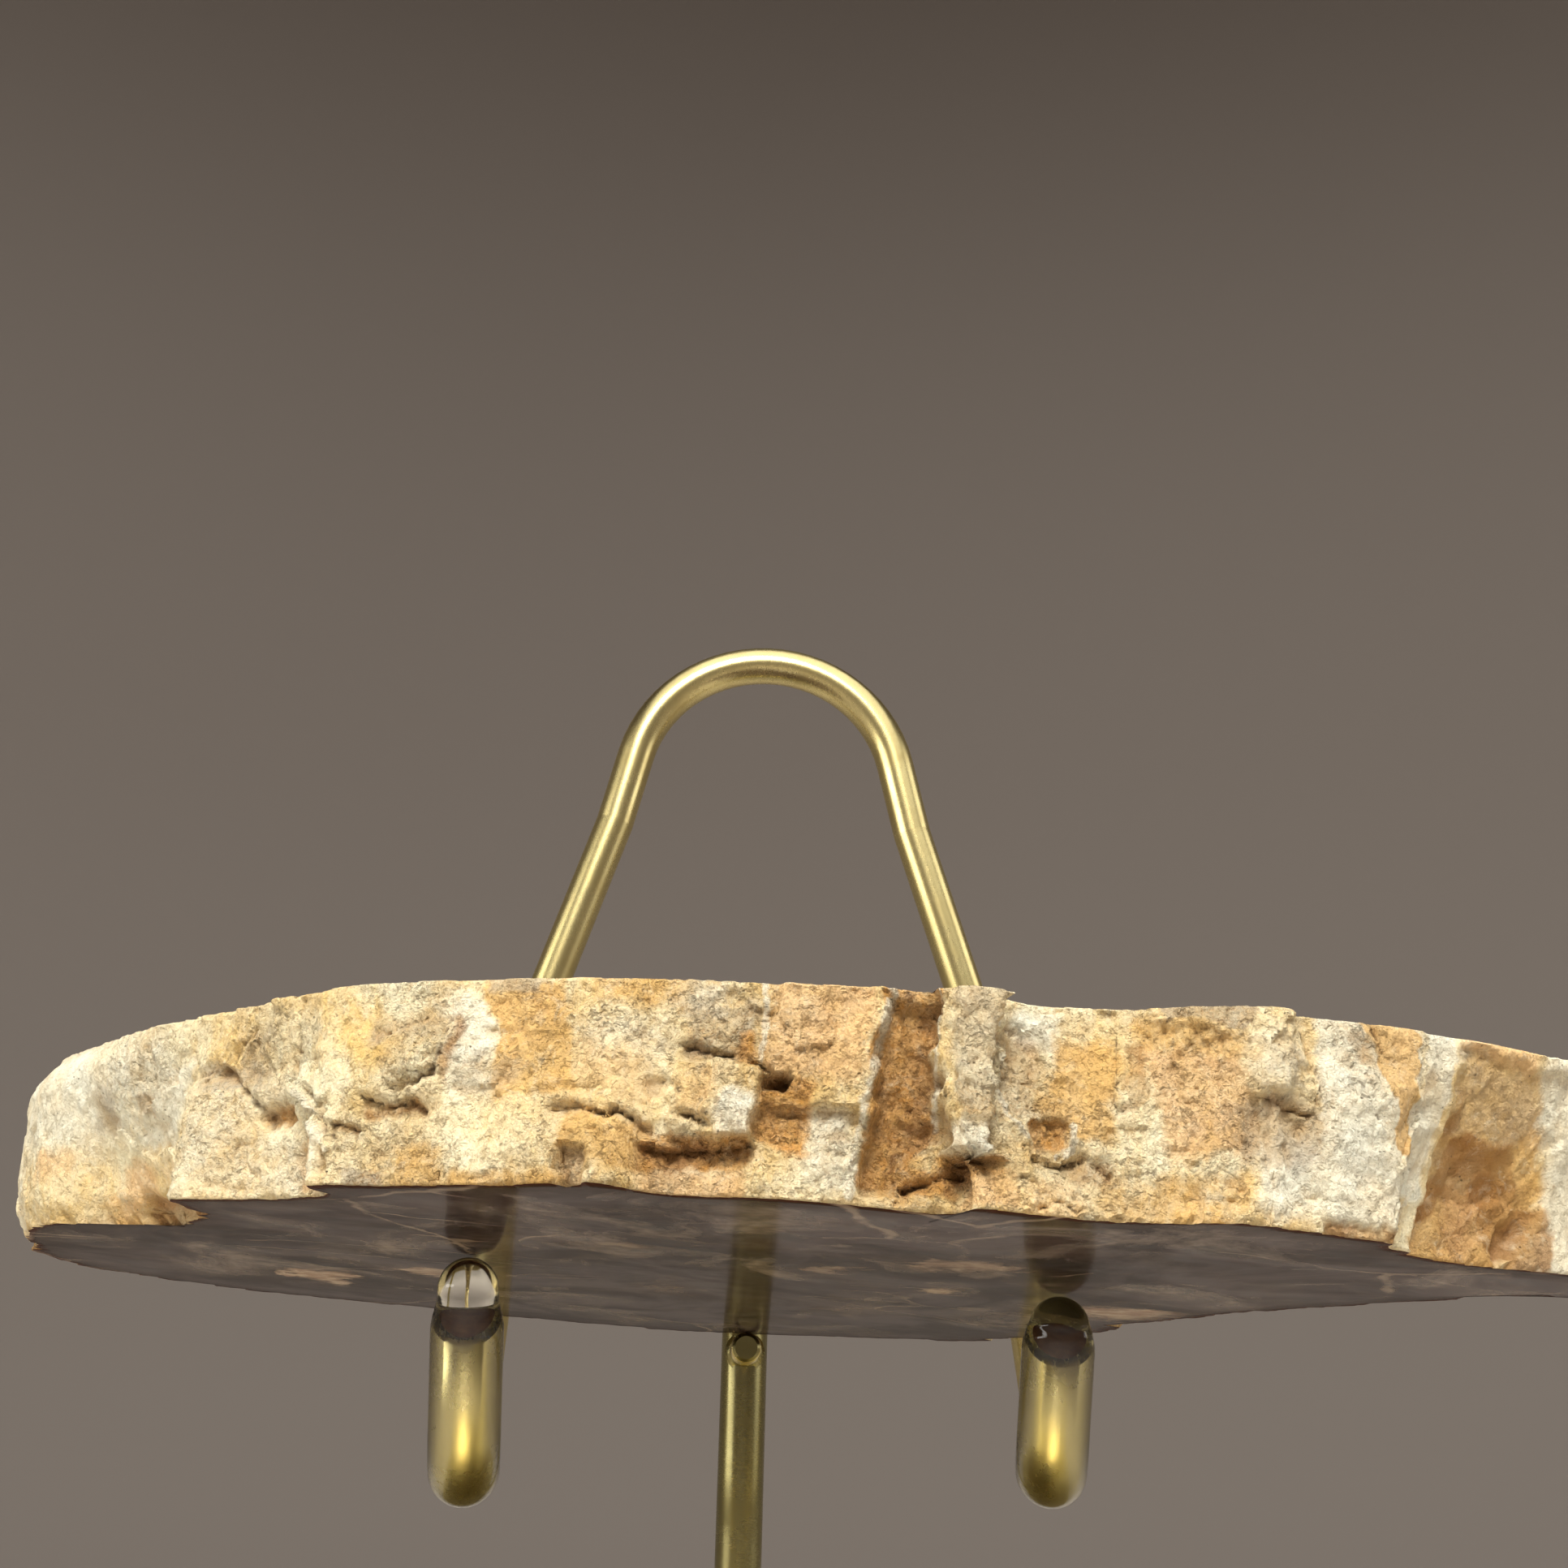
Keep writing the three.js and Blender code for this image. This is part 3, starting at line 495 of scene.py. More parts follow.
def rimColumns():
    # where the rim's mesh columns stand, with their outward direction
    loop, even, whole = roundedLoop(sliceOutline, 8000)
    ahead, behind = np.roll(loop, -25, axis=0), np.roll(loop, 25, axis=0)
    along = (ahead - behind)[:, :2]
    along /= np.linalg.norm(along, axis=1)[:, None]
    rightEnd = even[loop[:, 0].argmax()]
    places = np.concatenate([
        np.arange(0, rightEnd, slab["frontStep"]),
        np.arange(rightEnd, whole - slab["backStep"] / 2, slab["backStep"]),
    ])
    pick = np.searchsorted(even, places).clip(0, len(even) - 1)
    outward = np.stack([along[pick, 1], -along[pick, 0]], axis=1)
    return loop[pick], outward, places - rightEnd


class Rim:
    # the broken rim as a grid, columns round the slice and rows up it: how far each point stands
    # out of the outline, what it is made of, and where it gets painted shade in its recesses
    def __init__(self):
        self.outline, self.outward, pastEnd = rimColumns()
        self.heights = np.linspace(0, slab["thickness"], slab["rows"] + 1)
        self.x, self.z = np.meshgrid(self.outline[:, 0], self.heights, indexing="ij")
        y = np.repeat(self.outline[:, 1:2], len(self.heights), axis=1)
        self.spot = np.stack([self.x, y, self.z], axis=-1)
        self.past = np.repeat(pastEnd[:, None], len(self.heights), axis=1)
        self.front = (pastEnd < 0).astype(float)[:, None]
        self.behind = 1 - self.front
        self.ragged, self.crooked = self.strayed(1, (1, 2, 8)), self.strayed(2, (3, 4, 9))
        self.proud = -self.outline[:, 2:3] * (1 - smooth(self.z, 0, slab["thickness"]))
        self.fields = {name: np.zeros(self.x.shape) for name in (*frontTones, "crack", "vein")}

    def strayed(self, column, seeds):
        noises = [row[column] * cloud(self.spot * row[0], seed) for row, seed in zip(slab["ragged"], seeds)]
        return sum(noises)

    def patch(self, low, high, bottom, top, soft, lean):
        # soft at its ragged edges; its sides lean by so much for each millimetre of height
        height = self.z + self.crooked
        across = self.x + self.ragged - lean * (height - slab["thickness"] / 2)
        return band(across, low, high, soft) * band(height, bottom, top, soft)

    def paint(self, name, amount):
        self.fields[name] = np.maximum(self.fields[name], amount)

    def addForms(self):
        for *sides, out, soft, lean in frontRelief:
            self.proud += self.front * out * self.patch(*sides, soft, lean)
        for name, rows in frontTones.items():
            for *sides, strength, soft, lean in rows:
                self.paint(name, self.front * strength * self.patch(*sides, 2 * soft, lean))

    def addBack(self):
        soft = backRim["soft"]
        for low, high, split, whole, ledge in backBlocks():
            span = self.behind * band(self.past + self.ragged, low, high, soft)
            self.proud += whole * span + ledge * span * band(self.z + self.crooked, -1, split, soft)
        for n, name in enumerate(frontTones):
            veil = clouds(self.spot * np.array([0.13, 0.13, 0.16]) + 9.7 * n, 3, 0.55, 90 + n)
            self.paint(name, self.behind * smooth(veil, 0.2, 0.75) * 0.9)

    def wearLeftEnd(self):
        # it is rubbed round at both edges
        above, below = slab["leftWorn"]
        worn = above * smooth(self.z, 8.5, 12.5) ** 2 + below * smooth(self.z, 3, -0.5) ** 2
        self.proud -= self.front * band(self.x, -70, -45, 6) * worn

    def addLines(self):
        wander = 0.14 * cloud(self.spot * 1.8, 5) + 0.08 * cloud(self.spot * 5, 6)
        x, z = self.x + wander, self.z - wander
        for width, height, corners in frontLines["ledge"]:
            # cut in below the line, fading downwards over its width
            across, up = zip(*corners)
            edge = np.interp(x, across, up, np.nan, np.nan)
            under = np.nan_to_num(edge - self.z + 1.5 * wander, nan=-1.0)
            cutIn = smooth(under, 0, 0.16) * np.exp(-np.maximum(under, 0) / width)
            ends = band(self.x, across[0] + 0.3, across[-1] - 0.3, 0.6)
            self.proud -= self.front * height * ends * cutIn
        broken = 0.75 + 0.35 * cloud(self.spot * 3, 7)
        for kind, side in (("crack", -1), ("vein", 1)):
            for width, height, corners in frontLines[kind]:
                line = self.front * np.exp(-((nearLine(x, z, corners) / width) ** 2)) * broken
                self.proud += side * height * line
                self.paint(kind, line)
        for low, *_ in backBlocks():
            seam = (self.past + self.ragged - low) / slab["jointWidth"]
            line = self.behind * np.exp(-(seam**2)) * smooth(cloud(self.spot * 0.5, 70), -0.5, 0.4)
            self.proud -= slab["jointDepth"] * line
            self.paint("crack", line)

    def addGrain(self):
        even = self.front * np.maximum(band(self.x, -64, -44, 8), band(self.x, 37, 64, 3))
        patchy = smooth(clouds(self.spot * 0.22, 2, 0.5, 15), -0.5, 0.6)
        coarse = 0.45 + 0.75 * patchy + 0.8 * self.fields["rust"] - 0.35 * self.fields["chalk"]
        coarse = np.clip(coarse, 0.3, 1.6) * (1 - 0.65 * even)
        calm = 1 - 0.3 * even
        grain = self.spot * np.array([1, 1, 0.75])
        bent = grain + 0.35 * np.stack([self.ragged, self.crooked, -self.ragged], axis=-1)
        self.proud += slab["broad"] * clouds(grain * 0.16, 2, 0.5, 20)
        self.proud += slab["lumps"] * calm * clouds(grain * 0.55, 3, 0.55, 30)
        self.proud += slab["bigChips"] * calm * chips(bent * np.array([0.35, 0.35, 0.5]), 40)
        self.proud += slab["chips"] * calm * chips(bent * np.array([0.85, 0.85, 1.4]), 50)
        self.proud += slab["smallChips"] * coarse * chips(bent * np.array([1.9, 1.9, 3.0]), 60)
        self.proud += slab["grit"] * coarse * clouds(self.spot * np.array([2.6, 2.6, 3.2]), 2, 0.7, 80)
        # painted shade: these two masks mark where the surface lies below its blurred self, a little or
        # well below, so the colour is darker there
        self.fields["hollow"] = np.clip((blurred(self.proud, 4) - self.proud) * 3.0, 0, 1)
        self.fields["deep"] = np.clip(blurred(self.proud, 16) - self.proud - 0.45, 0, 1)
        self.fields["coarse"] = coarse

    def pushedOut(self, row, blur=0):
        # the outline at one row, with what stands out of it
        surface = blurred(self.proud, blur) if blur else self.proud
        return self.outline[:, :2] + self.outward * surface[:, row:row + 1]


def laidOnStand(points):
    # from the slice's own frame to its place on the hooks, in metres
    turn = math.atan(slab["slope"])
    x, y, z = points[:, 0], points[:, 1], points[:, 2]
    placed = np.stack([
        x * math.cos(turn) + z * math.sin(turn),
        y,
        z * math.cos(turn) - x * math.sin(turn) + slab["underside"],
    ], axis=1)
    return placed * mm


def inset(loop, distance):
    middle = np.array(slab["middle"])
    ray = loop - middle
    length = np.linalg.norm(ray, axis=1)[:, None]
    return middle + ray * (1 - distance / length)


def ringFaces(rings, sides, first=0):
    # four-sided faces between rings of points that follow one another
    faces = []
    for row in range(rings - 1):
        start = first + row * sides
        for n in range(sides):
            a, b = start + n, start + (n + 1) % sides
            faces.append((a, b, b + sides, a + sides))
    return faces


def ringMesh(name, points, sides):
    # a closed skin over rings of points, with a flat face at each end
    faces = ringFaces(len(points) // sides, sides)
    faces.append(tuple(range(sides))[::-1])
    faces.append(tuple(range(len(points) - sides, len(points))))
    mesh = bpy.data.meshes.new(name)
    mesh.from_pydata(points, [], faces)
    return mesh


def addMask(mesh, name, values):
    mesh.attributes.new(name, "FLOAT", "POINT").data.foreach_set("value", np.array(values, np.float32))


def edgeWear(rim, height, nicks):
    # how much the polished edge is taken off along the rim
    edge = np.column_stack([rim.outline[:, :2], np.full(len(rim.outline), height)])
    seed = 95 if height == 0 else 100
    nicked = np.clip(clouds(edge * 0.55, 4, 0.6, seed) - 0.1, 0, 1)
    leftEnd = 1 + 1.5 * band(rim.outline[:, 0], -54, -40, 3)
    return (slab["edgeWear"] + nicks * leftEnd * nicked).clip(0, slab["mostWear"])


def sliceMesh():
    rim = Rim()
    rim.addForms()
    rim.addBack()
    rim.wearLeftEnd()
    rim.addLines()
    rim.addGrain()
    columns, rows = rim.proud.shape
    thickness = slab["thickness"]
    wornLow, wornHigh = (edgeWear(rim, z, nicks) for z, nicks in zip((0, thickness), slab["nicks"]))
    rings, margin, masks = [], [], {name: [] for name in rim.fields}

    def addRing(edge, height, depth, row):
        rings.append(np.column_stack([edge, np.zeros(columns) + height]))
        margin.append(np.full(columns, depth))
        for name, field in rim.fields.items():
            masks[name].append(field[:, row])

    def addFace(row, height, worn, order):
        # rings of a polished face from its worn edge inwards, or the other way
        edge, calmEdge = rim.pushedOut(row), rim.pushedOut(row, 10)
        loops = [(edge, worn[:, None], 1.0), (calmEdge, 1.4, 0.6), (calmEdge, 6.0, 0.0)]
        for loop, inwards, depth in loops[::order]:
            addRing(inset(loop, inwards), height, depth, row)

    addFace(0, 0, wornLow, -1)
    for row, height in enumerate(rim.heights):
        # the rows by each edge give way to its nicks
        low, high = (max(0, 1 - away / 1.6) ** 2 for away in (height, thickness - height))
        addRing(rim.pushedOut(row), height + low * wornLow - high * wornHigh, 1.0, row)
    addFace(rows - 1, thickness, wornHigh, 1)

    mesh = ringMesh("petrifiedWoodSlice", laidOnStand(np.concatenate(rings)).tolist(), columns)
    polished = np.zeros(len(mesh.polygons), int)
    polished[:2 * columns] = 1  # the lower face's rings
    polished[-2 * columns - 2:] = 1  # the upper face's rings and both middles
    mesh.polygons.foreach_set("material_index", polished)
    mesh.polygons.foreach_set("use_smooth", polished == 0)
    for name, parts in {**masks, "margin": margin}.items():
        addMask(mesh, name, np.concatenate(parts))
    mesh.update()
    return mesh


rindColours = {
    "cream": tint(247, 238, 202),
    "sand": tint(228, 194, 130),
    "straw": tint(238, 200, 114),
    # tan is painted shade, for the shallow recesses
    "tan": tint(196, 156, 104),
    "chalk": tint(240, 242, 226),
    "ochre": tint(222, 174, 98),
    "peach": tint(236, 193, 140),
    "grey": tint(176, 163, 142),
    "rust": tint(226, 166, 92),
    "rustBright": tint(222, 158, 74),
    "rustDark": tint(128, 78, 40),
    "umber": tint(150, 98, 44),
    "honey": tint(214, 166, 84),
    "bleached": tint(240, 232, 204),
    "vein": tint(240, 232, 206),
    # deep, low and the pit colour are painted shade too: for the deep recesses, the low chips and the sunk
    # spots
    "deep": tint(134, 88, 50),
    "crack": tint(70, 48, 32),
    "low": tint(176, 130, 80),
    "speck": tint(92, 72, 56),
    "pit": tint(146, 102, 60),
}


def rindMaterial():
    s = Shader("brokenRind")
    colours = rindColours
    drift = s.noise(0.35, 3, 0.5)
    warp = s.noise(1.1, 3, 0.6, output="Color")
    push = s.vector("SCALE", s.vector("SUBTRACT", warp, (0.5, 0.5, 0.5)), scale=1.1)
    bent = s.vector("ADD", s.place, push)
    flat = s.vector("MULTIPLY", bent, (1, 1, 1.5))
    blotch = s.noise(0.13, 5, 0.6, 0.5)
    streak = s.noise(0.42, 5, 0.62, 0.4, at=s.stretched((1, 1, 0.45)))
    grain = s.noise(1.6, 8, 0.7, 0.15)
    fine = s.noise(6.0, 5, 0.7)
    chip, flake, crumb = (s.facets(scale, flat) for scale in (1.5, 3.6, 8.0))
    spots = s.noise(1.3, 6, 0.72, 0.4)
    stained = s.noise(0.75, 7, 0.74, 0.7)
    coarse = s.mask("coarse")
    specks = s.cells(1.7).over(0.15, 0.06) * s.noise(0.5, 3).over(0.5, 0.62)
    # small sunk spots, dented into the bump and painted darker as their shade
    shadedPits = s.noise(1.9, 5, 0.72, 0.3).over(0.6, 0.7) * coarse * s.noise(0.3, 3).over(0.4, 0.6)
    # where the chips lie low, painted darker as their shade
    shadedLows = (flake * 3 + crumb * 5 + (grain - 0.5) * 0.9).over(-0.15, -0.55)

    def frayed(name, fray, low, high):
        # a mask whose edge follows the grain
        return (s.mask(name) + (grain - 0.5) * fray).over(low, high)

    colour = s.mix(blotch.over(0.34, 0.64), colours["sand"], colours["cream"])
    colour = s.mix(streak.over(0.48, 0.72) * 0.65, colour, colours["straw"])
    for name in frontTones:
        edge = (s.mask(name) + (grain - 0.5) * 0.7 + (streak - 0.5) * 0.8).over(0.18, 0.72)
        tone = s.mix(drift.over(0.35, 0.65) * 0.35, colours[name], colours["sand"])
        colour = s.mix(edge * 0.8, colour, tone)
    rusty = frayed("rust", 0.8, 0.25, 0.7)
    colour = s.coats(
        colour,
        (rusty * spots.over(0.5, 0.64) * 0.8, colours["rustBright"]),
        (rusty * spots.over(0.46, 0.36) * 0.6, colours["rustDark"]),
        (stained.over(0.5, 0.76) * coarse * 0.5, colours["honey"]),
        (stained.over(0.46, 0.3) * 0.45, colours["bleached"]),
        (frayed("vein", 0.6, 0.3, 0.65) * 0.85, colours["vein"]),
        # painted shade: tan in the shallow recesses, brown in the deep ones
        (s.mask("hollow").over(0.15, 1.0) * 0.4, colours["tan"]),
        (s.mask("deep") * 0.5, colours["deep"]),
        (frayed("crack", 0.6, 0.5, 0.85) * 0.7, colours["crack"]),
        # painted shade on the low chips
        (shadedLows * coarse * 0.35, colours["low"]),
        (specks * 0.6, colours["speck"]),
        # painted shade in the sunk spots
        (shadedPits * 0.55, colours["pit"]),
    )
    shade = 0.88 + 0.24 * fine
    shaded = s.node("ShaderNodeCombineColor", None, {0: shade, 1: shade, 2: shade})[0]
    rough = 0.18 + 0.82 * coarse
    small = flake * 0.75 + crumb * 0.5 + (grain - 0.5) * 0.3 + (fine - 0.5) * 0.05
    relief = chip * 0.55 * rough + small * rough - specks * 0.08 - shadedPits * 0.12
    return s.surface({
        "Base Color": s.mix(1.0, colour, shaded, "MULTIPLY"),
        "Roughness": 0.72 + 0.22 * fine,
        "IOR": 1.5,
        "Specular IOR Level": 0.25,
        "Normal": s.bump(relief, mm),
    })


# Pale patches of the polished faces: x, y, half width, half depth, strength.
palePatches = [
    (-35.4, 5.5, 2.0, 5.5, 1.0), (-24.6, -4.0, 3.2, 2.8, 0.9), (12.8, -29.5, 4.2, 4.5, 0.5),
    (12.7, -15.5, 1.6, 2.4, 0.6), (4.0, -23.0, 2.0, 3.4, 0.45), (7.6, 2.7, 4.2, 5.5, 0.35),
    (-6.0, -3.0, 4.2, 5.0, 0.35), (29.5, -6.0, 6.5, 4.5, 0.75), (-10.9, -29.0, 3.0, 2.0, 0.4),
]

woodColours = {
    "core": tint(52, 43, 41),
    "plum": tint(70, 54, 53),
    "slate": tint(72, 73, 76),
    "taupe": tint(98, 82, 71),
    "haze": tint(154, 140, 130),
    "pale": tint(212, 190, 168),
    "rose": tint(158, 122, 104),
    "band": tint(58, 43, 34),
    "rim": tint(74, 42, 30),
}


def polishedMaterial():
    s = Shader("polishedWood")
    colours = woodColours

    def shifted(scale, detail, roughness, distortion, factors, shift):
        return s.noise(scale, detail, roughness, distortion, at=s.stretched(factors, shift))

    # growth rings round the old pith, pushed out of true
    x, y, _ = s.axes()
    warpX = s.noise(0.045, 4, 0.5) - 0.5
    warpY = shifted(0.05, 4, 0.5, 0.0, (1, 1, 1), (31, 7, 0)) - 0.5
    dx = x - slab["middle"][0] + warpX * 16
    dy = (y - slab["middle"][1] + warpY * 16) * 1.2
    reach = (dx * dx + dy * dy).power(0.5)
    rings = s.math("SINE", reach * 2.6 + s.noise(0.12, 3) * 9)
    wide = s.math("SINE", reach * 0.42 + s.noise(0.06, 3) * 5)

    blotch = s.noise(0.07, 6, 0.62, 0.9)
    flecks = s.noise(0.35, 6, 0.65, 0.5)
    cloudy = shifted(0.11, 5, 0.65, 0.6, (1, 0.7, 1), (17, 3, 40))
    faded = shifted(0.06, 4, 0.6, 0.4, (1, 1, 1), (0, 53, 9)).over(0.38, 0.66)

    pale = None
    ragged = (s.noise(0.22, 6, 0.68, 1.2) - 0.5) * 2.6
    sway = (s.noise(0.13, 4, 0.6) - 0.5) * 9
    swing = (shifted(0.15, 4, 0.6, 0.0, (1, 1, 1), (5, 61, 0)) - 0.5) * 9
    for px, py, halfWidth, halfDepth, strength in palePatches:
        across, deep = (x + sway - px) / halfWidth, (y + swing - py) / halfDepth
        far = (across * across + deep * deep).power(0.5) + ragged
        spot = far.over(1.6, 0.4) * strength
        pale = spot if pale is None else s.math("MAXIMUM", pale, spot)
    inlay = s.mix(s.noise(0.5, 5, 0.65).over(0.4, 0.6) * 0.7, colours["pale"], colours["rose"])
    border = s.mask("margin") + (s.noise(0.9, 4) - 0.5) * 0.35

    # drying cracks run out from the pith and round the rings, filled with pale quartz
    polar = {0: dx / reach * 2.6, 1: dy / reach * 2.6, 2: reach * 0.055}
    spokes = s.node("ShaderNodeCombineXYZ", None, polar)[0]
    checks = s.cells(1.0, "DISTANCE_TO_EDGE", at=spokes) + (s.noise(0.5, 4, 0.7) - 0.5) * 0.03
    healed = checks.over(0.022, 0.006) * s.noise(0.06, 4, 0.6).over(0.48, 0.6)

    colour = s.coats(
        s.mix(blotch.over(0.42, 0.58), colours["core"], colours["plum"]),
        (cloudy.over(0.5, 0.68) * 0.8, colours["haze"]),
        (flecks.over(0.48, 0.66) * 0.6, colours["slate"]),
        (rings.over(-0.2, 1.0) * faded * 0.3, colours["taupe"]),
        (wide.over(0.3, 1.0) * flecks.over(0.4, 0.6) * 0.4, colours["taupe"]),
        (pale.over(0.05, 0.35) * 0.5, colours["taupe"]),
        (pale.over(0.3, 0.7), inlay),
        (border.over(0.15, 0.6) * 0.75, colours["band"]),
        (border.over(0.72, 0.95) * 0.9, colours["rim"]),
        (healed * 0.32, colours["pale"]),
    )
    scratch = s.noise(1.0, 3, 0.6, at=s.stretched((0.25, 5.0, 1)))
    swirl = s.noise(1.0, 3, 0.6, at=s.stretched((3.6, 3.0, 1)))
    relief = scratch.over(0.62, 0.75) * 0.5 + swirl * 0.15 + flecks * 0.5
    gloss = 0.03 + 0.1 * flecks.over(0.38, 0.62) + 0.22 * blotch.over(0.42, 0.6)
    return s.surface({
        "Base Color": colour,
        "Roughness": 0.13 + 0.12 * flecks.over(0.4, 0.7) + 0.2 * border.over(0.7, 1.0),
        "IOR": 1.54,
        "Specular IOR Level": 0.003,
        "Coat Weight": (gloss * (1 - 0.8 * border.over(0.3, 0.8))).clamped(),
        "Coat Roughness": 0.1,
        "Normal": s.bump(relief, 0.012 * mm, 0.5),
    })


# Brass: bright and dull colour, how much longer its rub marks are on each axis, roughness,
# and how dull it is inside the vinyl.
brass = {
    "brassWire": (tint(229, 213, 152), tint(198, 178, 116), (1.6, 1.6, 0.5), 0.2, 0.7),
    # the rods get darker brass than the wire: painted shade, to match the dim post under the slice
    "shadedBrassRod": (tint(160, 152, 106), tint(128, 118, 76), (1.0, 1.0, 3.0), 0.2, 0.0),
    "brassPlate": (tint(229, 214, 156), tint(200, 180, 120), (0.25, 2.5, 1.0), 0.3, 0.0),
}
brassColours = {
    "rubbed": tint(180, 146, 92),
    "sleeved": tint(198, 190, 142),
    "cut": tint(92, 58, 36),
    "cutPale": tint(122, 86, 56),
}


def polishedBrass(name):
    bright, dull, along, polish, sleeved = brass[name]
    s = Shader(name)
    tarnish = s.noise(0.16, 4, 0.6, 0.7)
    rub = s.noise(2.2, 4, 0.6, at=s.stretched(along))
    rubbed = rub.over(0.5, 0.8)
    colour = s.coats(bright, (tarnish.over(0.42, 0.7) * 0.6, dull), (rubbed * 0.16, brassColours["rubbed"]))
    if sleeved:
        colour = s.mix(s.axes()[1].over(2, -4) * sleeved, colour, brassColours["sleeved"])
    return s.surface({
        "Base Color": colour,
        "Metallic": 1.0,
        "Roughness": polish + 0.14 * tarnish + 0.05 * rubbed,
        "Normal": s.bump(rub, 0.004 * mm, 0.1),
    })


def cutBrassPaintedDark():
    # sawn ends, never polished; their dark brown, dull colour also paints in the dark reflection of the
    # slice's underside above them
    s = Shader("cutBrassPaintedDark")
    grime = s.noise(1.2, 4, 0.6)
    return s.surface({
        "Base Color": s.mix(grime.over(0.4, 0.65), brassColours["cut"], brassColours["cutPale"]),
        "Metallic": 0.0,
        "Roughness": 0.6 + 0.2 * grime,
        "Specular IOR Level": 0.0,
    })


def clearVinyl():
    s = Shader("clearVinyl")
    smear = s.noise(0.6, 4, 0.6, 0.8)
    return s.surface({
        "Base Color": tint(246, 243, 232),
        "Roughness": 0.07 + 0.05 * smear.over(0.5, 0.8),
        "IOR": 1.5,
        "Transmission Weight": 1.0,
        "Normal": s.bump(smear, 0.008 * mm, 0.3),
    })


print("materials")
rind, polished = rindMaterial(), polishedMaterial()
brassWire, shadedBrassRod, brassPlate = (polishedBrass(name) for name in brass)
brassCutPaintedDark = cutBrassPaintedDark()
vinyl = clearVinyl()


def addObject(name, data):
    made = bpy.data.objects.new(name, data)
    bpy.context.scene.collection.objects.link(made)
    return made


def addPiece(name, mesh, materials, replaced=()):
    piece = addObject(name, mesh)
    if not mesh.materials:  # a grown mesh brings its own
        for material in materials:
            mesh.materials.append(material)
    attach(piece, "root")
    if replaced:
        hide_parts(*replaced)
    return piece


sliceBody = sliceMesh()
sliceBody.set_sharp_from_angle(angle=math.radians(55))
addPiece("petrifiedWoodSlice", sliceBody, [rind, polished], ["petrified_wood_slice"])
print("slice:", len(sliceBody.polygons), "faces")


# Geometry Nodes: one small class writes a tree with named inputs.
class Geometry(NodeTree):
    def __init__(self, name, inputs):
        self.tree = bpy.data.node_groups.new(name, "GeometryNodeTree")
        self.tree.interface.new_socket("Geometry", in_out="INPUT", socket_type="NodeSocketGeometry")
        self.tree.interface.new_socket("Geometry", in_out="OUTPUT", socket_type="NodeSocketGeometry")
        self.names = {}
        for label, kind in inputs.items():
            made = self.tree.interface.new_socket(label, in_out="INPUT", socket_type="NodeSocket" + kind)
            self.names[label] = made.identifier
        self.given = self.node("NodeGroupInput")

    def circle(self, radius, corners):
        feeds = {"Resolution": corners, "Radius": radius}
        return self.node("GeometryNodeCurvePrimitiveCircle", {"mode": "RADIUS"}, feeds)[0]

    def tube(self, path, profile):
        feeds = {"Curve": path, "Profile Curve": profile, "Fill Caps": True}
        return self.node("GeometryNodeCurveToMesh", None, feeds)[0]

    def finish(self, geometry, material):
        real = self.node("GeometryNodeRealizeInstances", None, {0: geometry})[0]
        painted = self.node("GeometryNodeSetMaterial", None, {"Geometry": real, "Material": material})[0]
        self.node("NodeGroupOutput", None, {0: painted})

    def grow(self, name, start, values):
        # runs the tree on a start mesh and returns the plain mesh it makes
        holder = addObject(name, start)
        modifier = holder.modifiers.new(name, "NODES")
        modifier.node_group = self.tree
        for label, value in values.items():
            modifier[self.names[label]] = value
        seen = holder.evaluated_get(bpy.context.evaluated_depsgraph_get())
        made = bpy.data.meshes.new_from_object(seen)
        bpy.data.objects.remove(holder)
        made.name = name
        return made


cradle = {
    "wire": 3.9,
    "standY": 38.0,
    "archTop": 115.75,  # centre line at the top of the arch
    "archRadius": 14.2,
    "archX": 0.4,  # the arch leans a little to the right
    "legTilt": math.radians(17),
    "kneeZ": 73.0,
    "kneeRadius": 30.0,
    "kink": 0.5,  # the legs were nipped in a little where the former ended
    "kinkZ": 97.3,
    "kinkRadius": 1.5,
    "hookX": 21.4,
    "hookTipY": -16.5,
    "hookLean": math.radians(26),
    "hookRadius": 4.5,
    "footRadius": 6.0,
    "wireSides": 40,
    "burr": 0.6,  # the cut ends' edge was filed off by this much
    "snip": math.radians(25),  # the wire's hidden ends were cut on a slant, facing forwards
}
leftHook = {"side": -1, "footX": 25.8, "runZ": 31.4, "wireEnd": 41.3, "node": "cap_left"}
rightHook = {"side": 1, "footX": 29.9, "runZ": 32.4, "wireEnd": 41.0, "node": "cap_right"}
cap = {
    "across": 5.3,
    "crown": 4.4,  # narrower above the wire's end, where nothing stretches it
    "bore": 3.86,  # it grips the wire
    "narrowing": (-0.4, 2.2),  # from here to here along the wire, counted from its end
    "alongRun": 5.0,
    "lip": 0.94,  # the open end is this much narrower
    "touch": 0.1,
    "roof": 0.03,  # the hollow ends this far inside the wire's cut
    "bendSteps": 14,
}


def legX(z):
    # centre line of the arch's legs between its shoulder and its knee
    shoulderX = cradle["archRadius"] * math.cos(cradle["legTilt"])
    shoulderZ = cradle["archTop"] - cradle["archRadius"] * (1 - math.sin(cradle["legTilt"]))
    return shoulderX + (shoulderZ - z) * math.tan(cradle["legTilt"])


def legPoint(hook, z, nip=0.0):
    return Vector((cradle["archX"] + hook["side"] * (legX(z) - nip), cradle["standY"], z))


def capCentre(hook):
    x = hook["side"] * cradle["hookX"]
    contact = slab["underside"] - slab["slope"] * x
    return Vector((x, cradle["hookTipY"], contact - cap["across"] / 2 - cap["touch"]))


def hookCorner(hook):
    tip = capCentre(hook)
    drop = tip.z - hook["runZ"]
    return Vector((tip.x, tip.y + drop * math.tan(cradle["hookLean"]), hook["runZ"]))


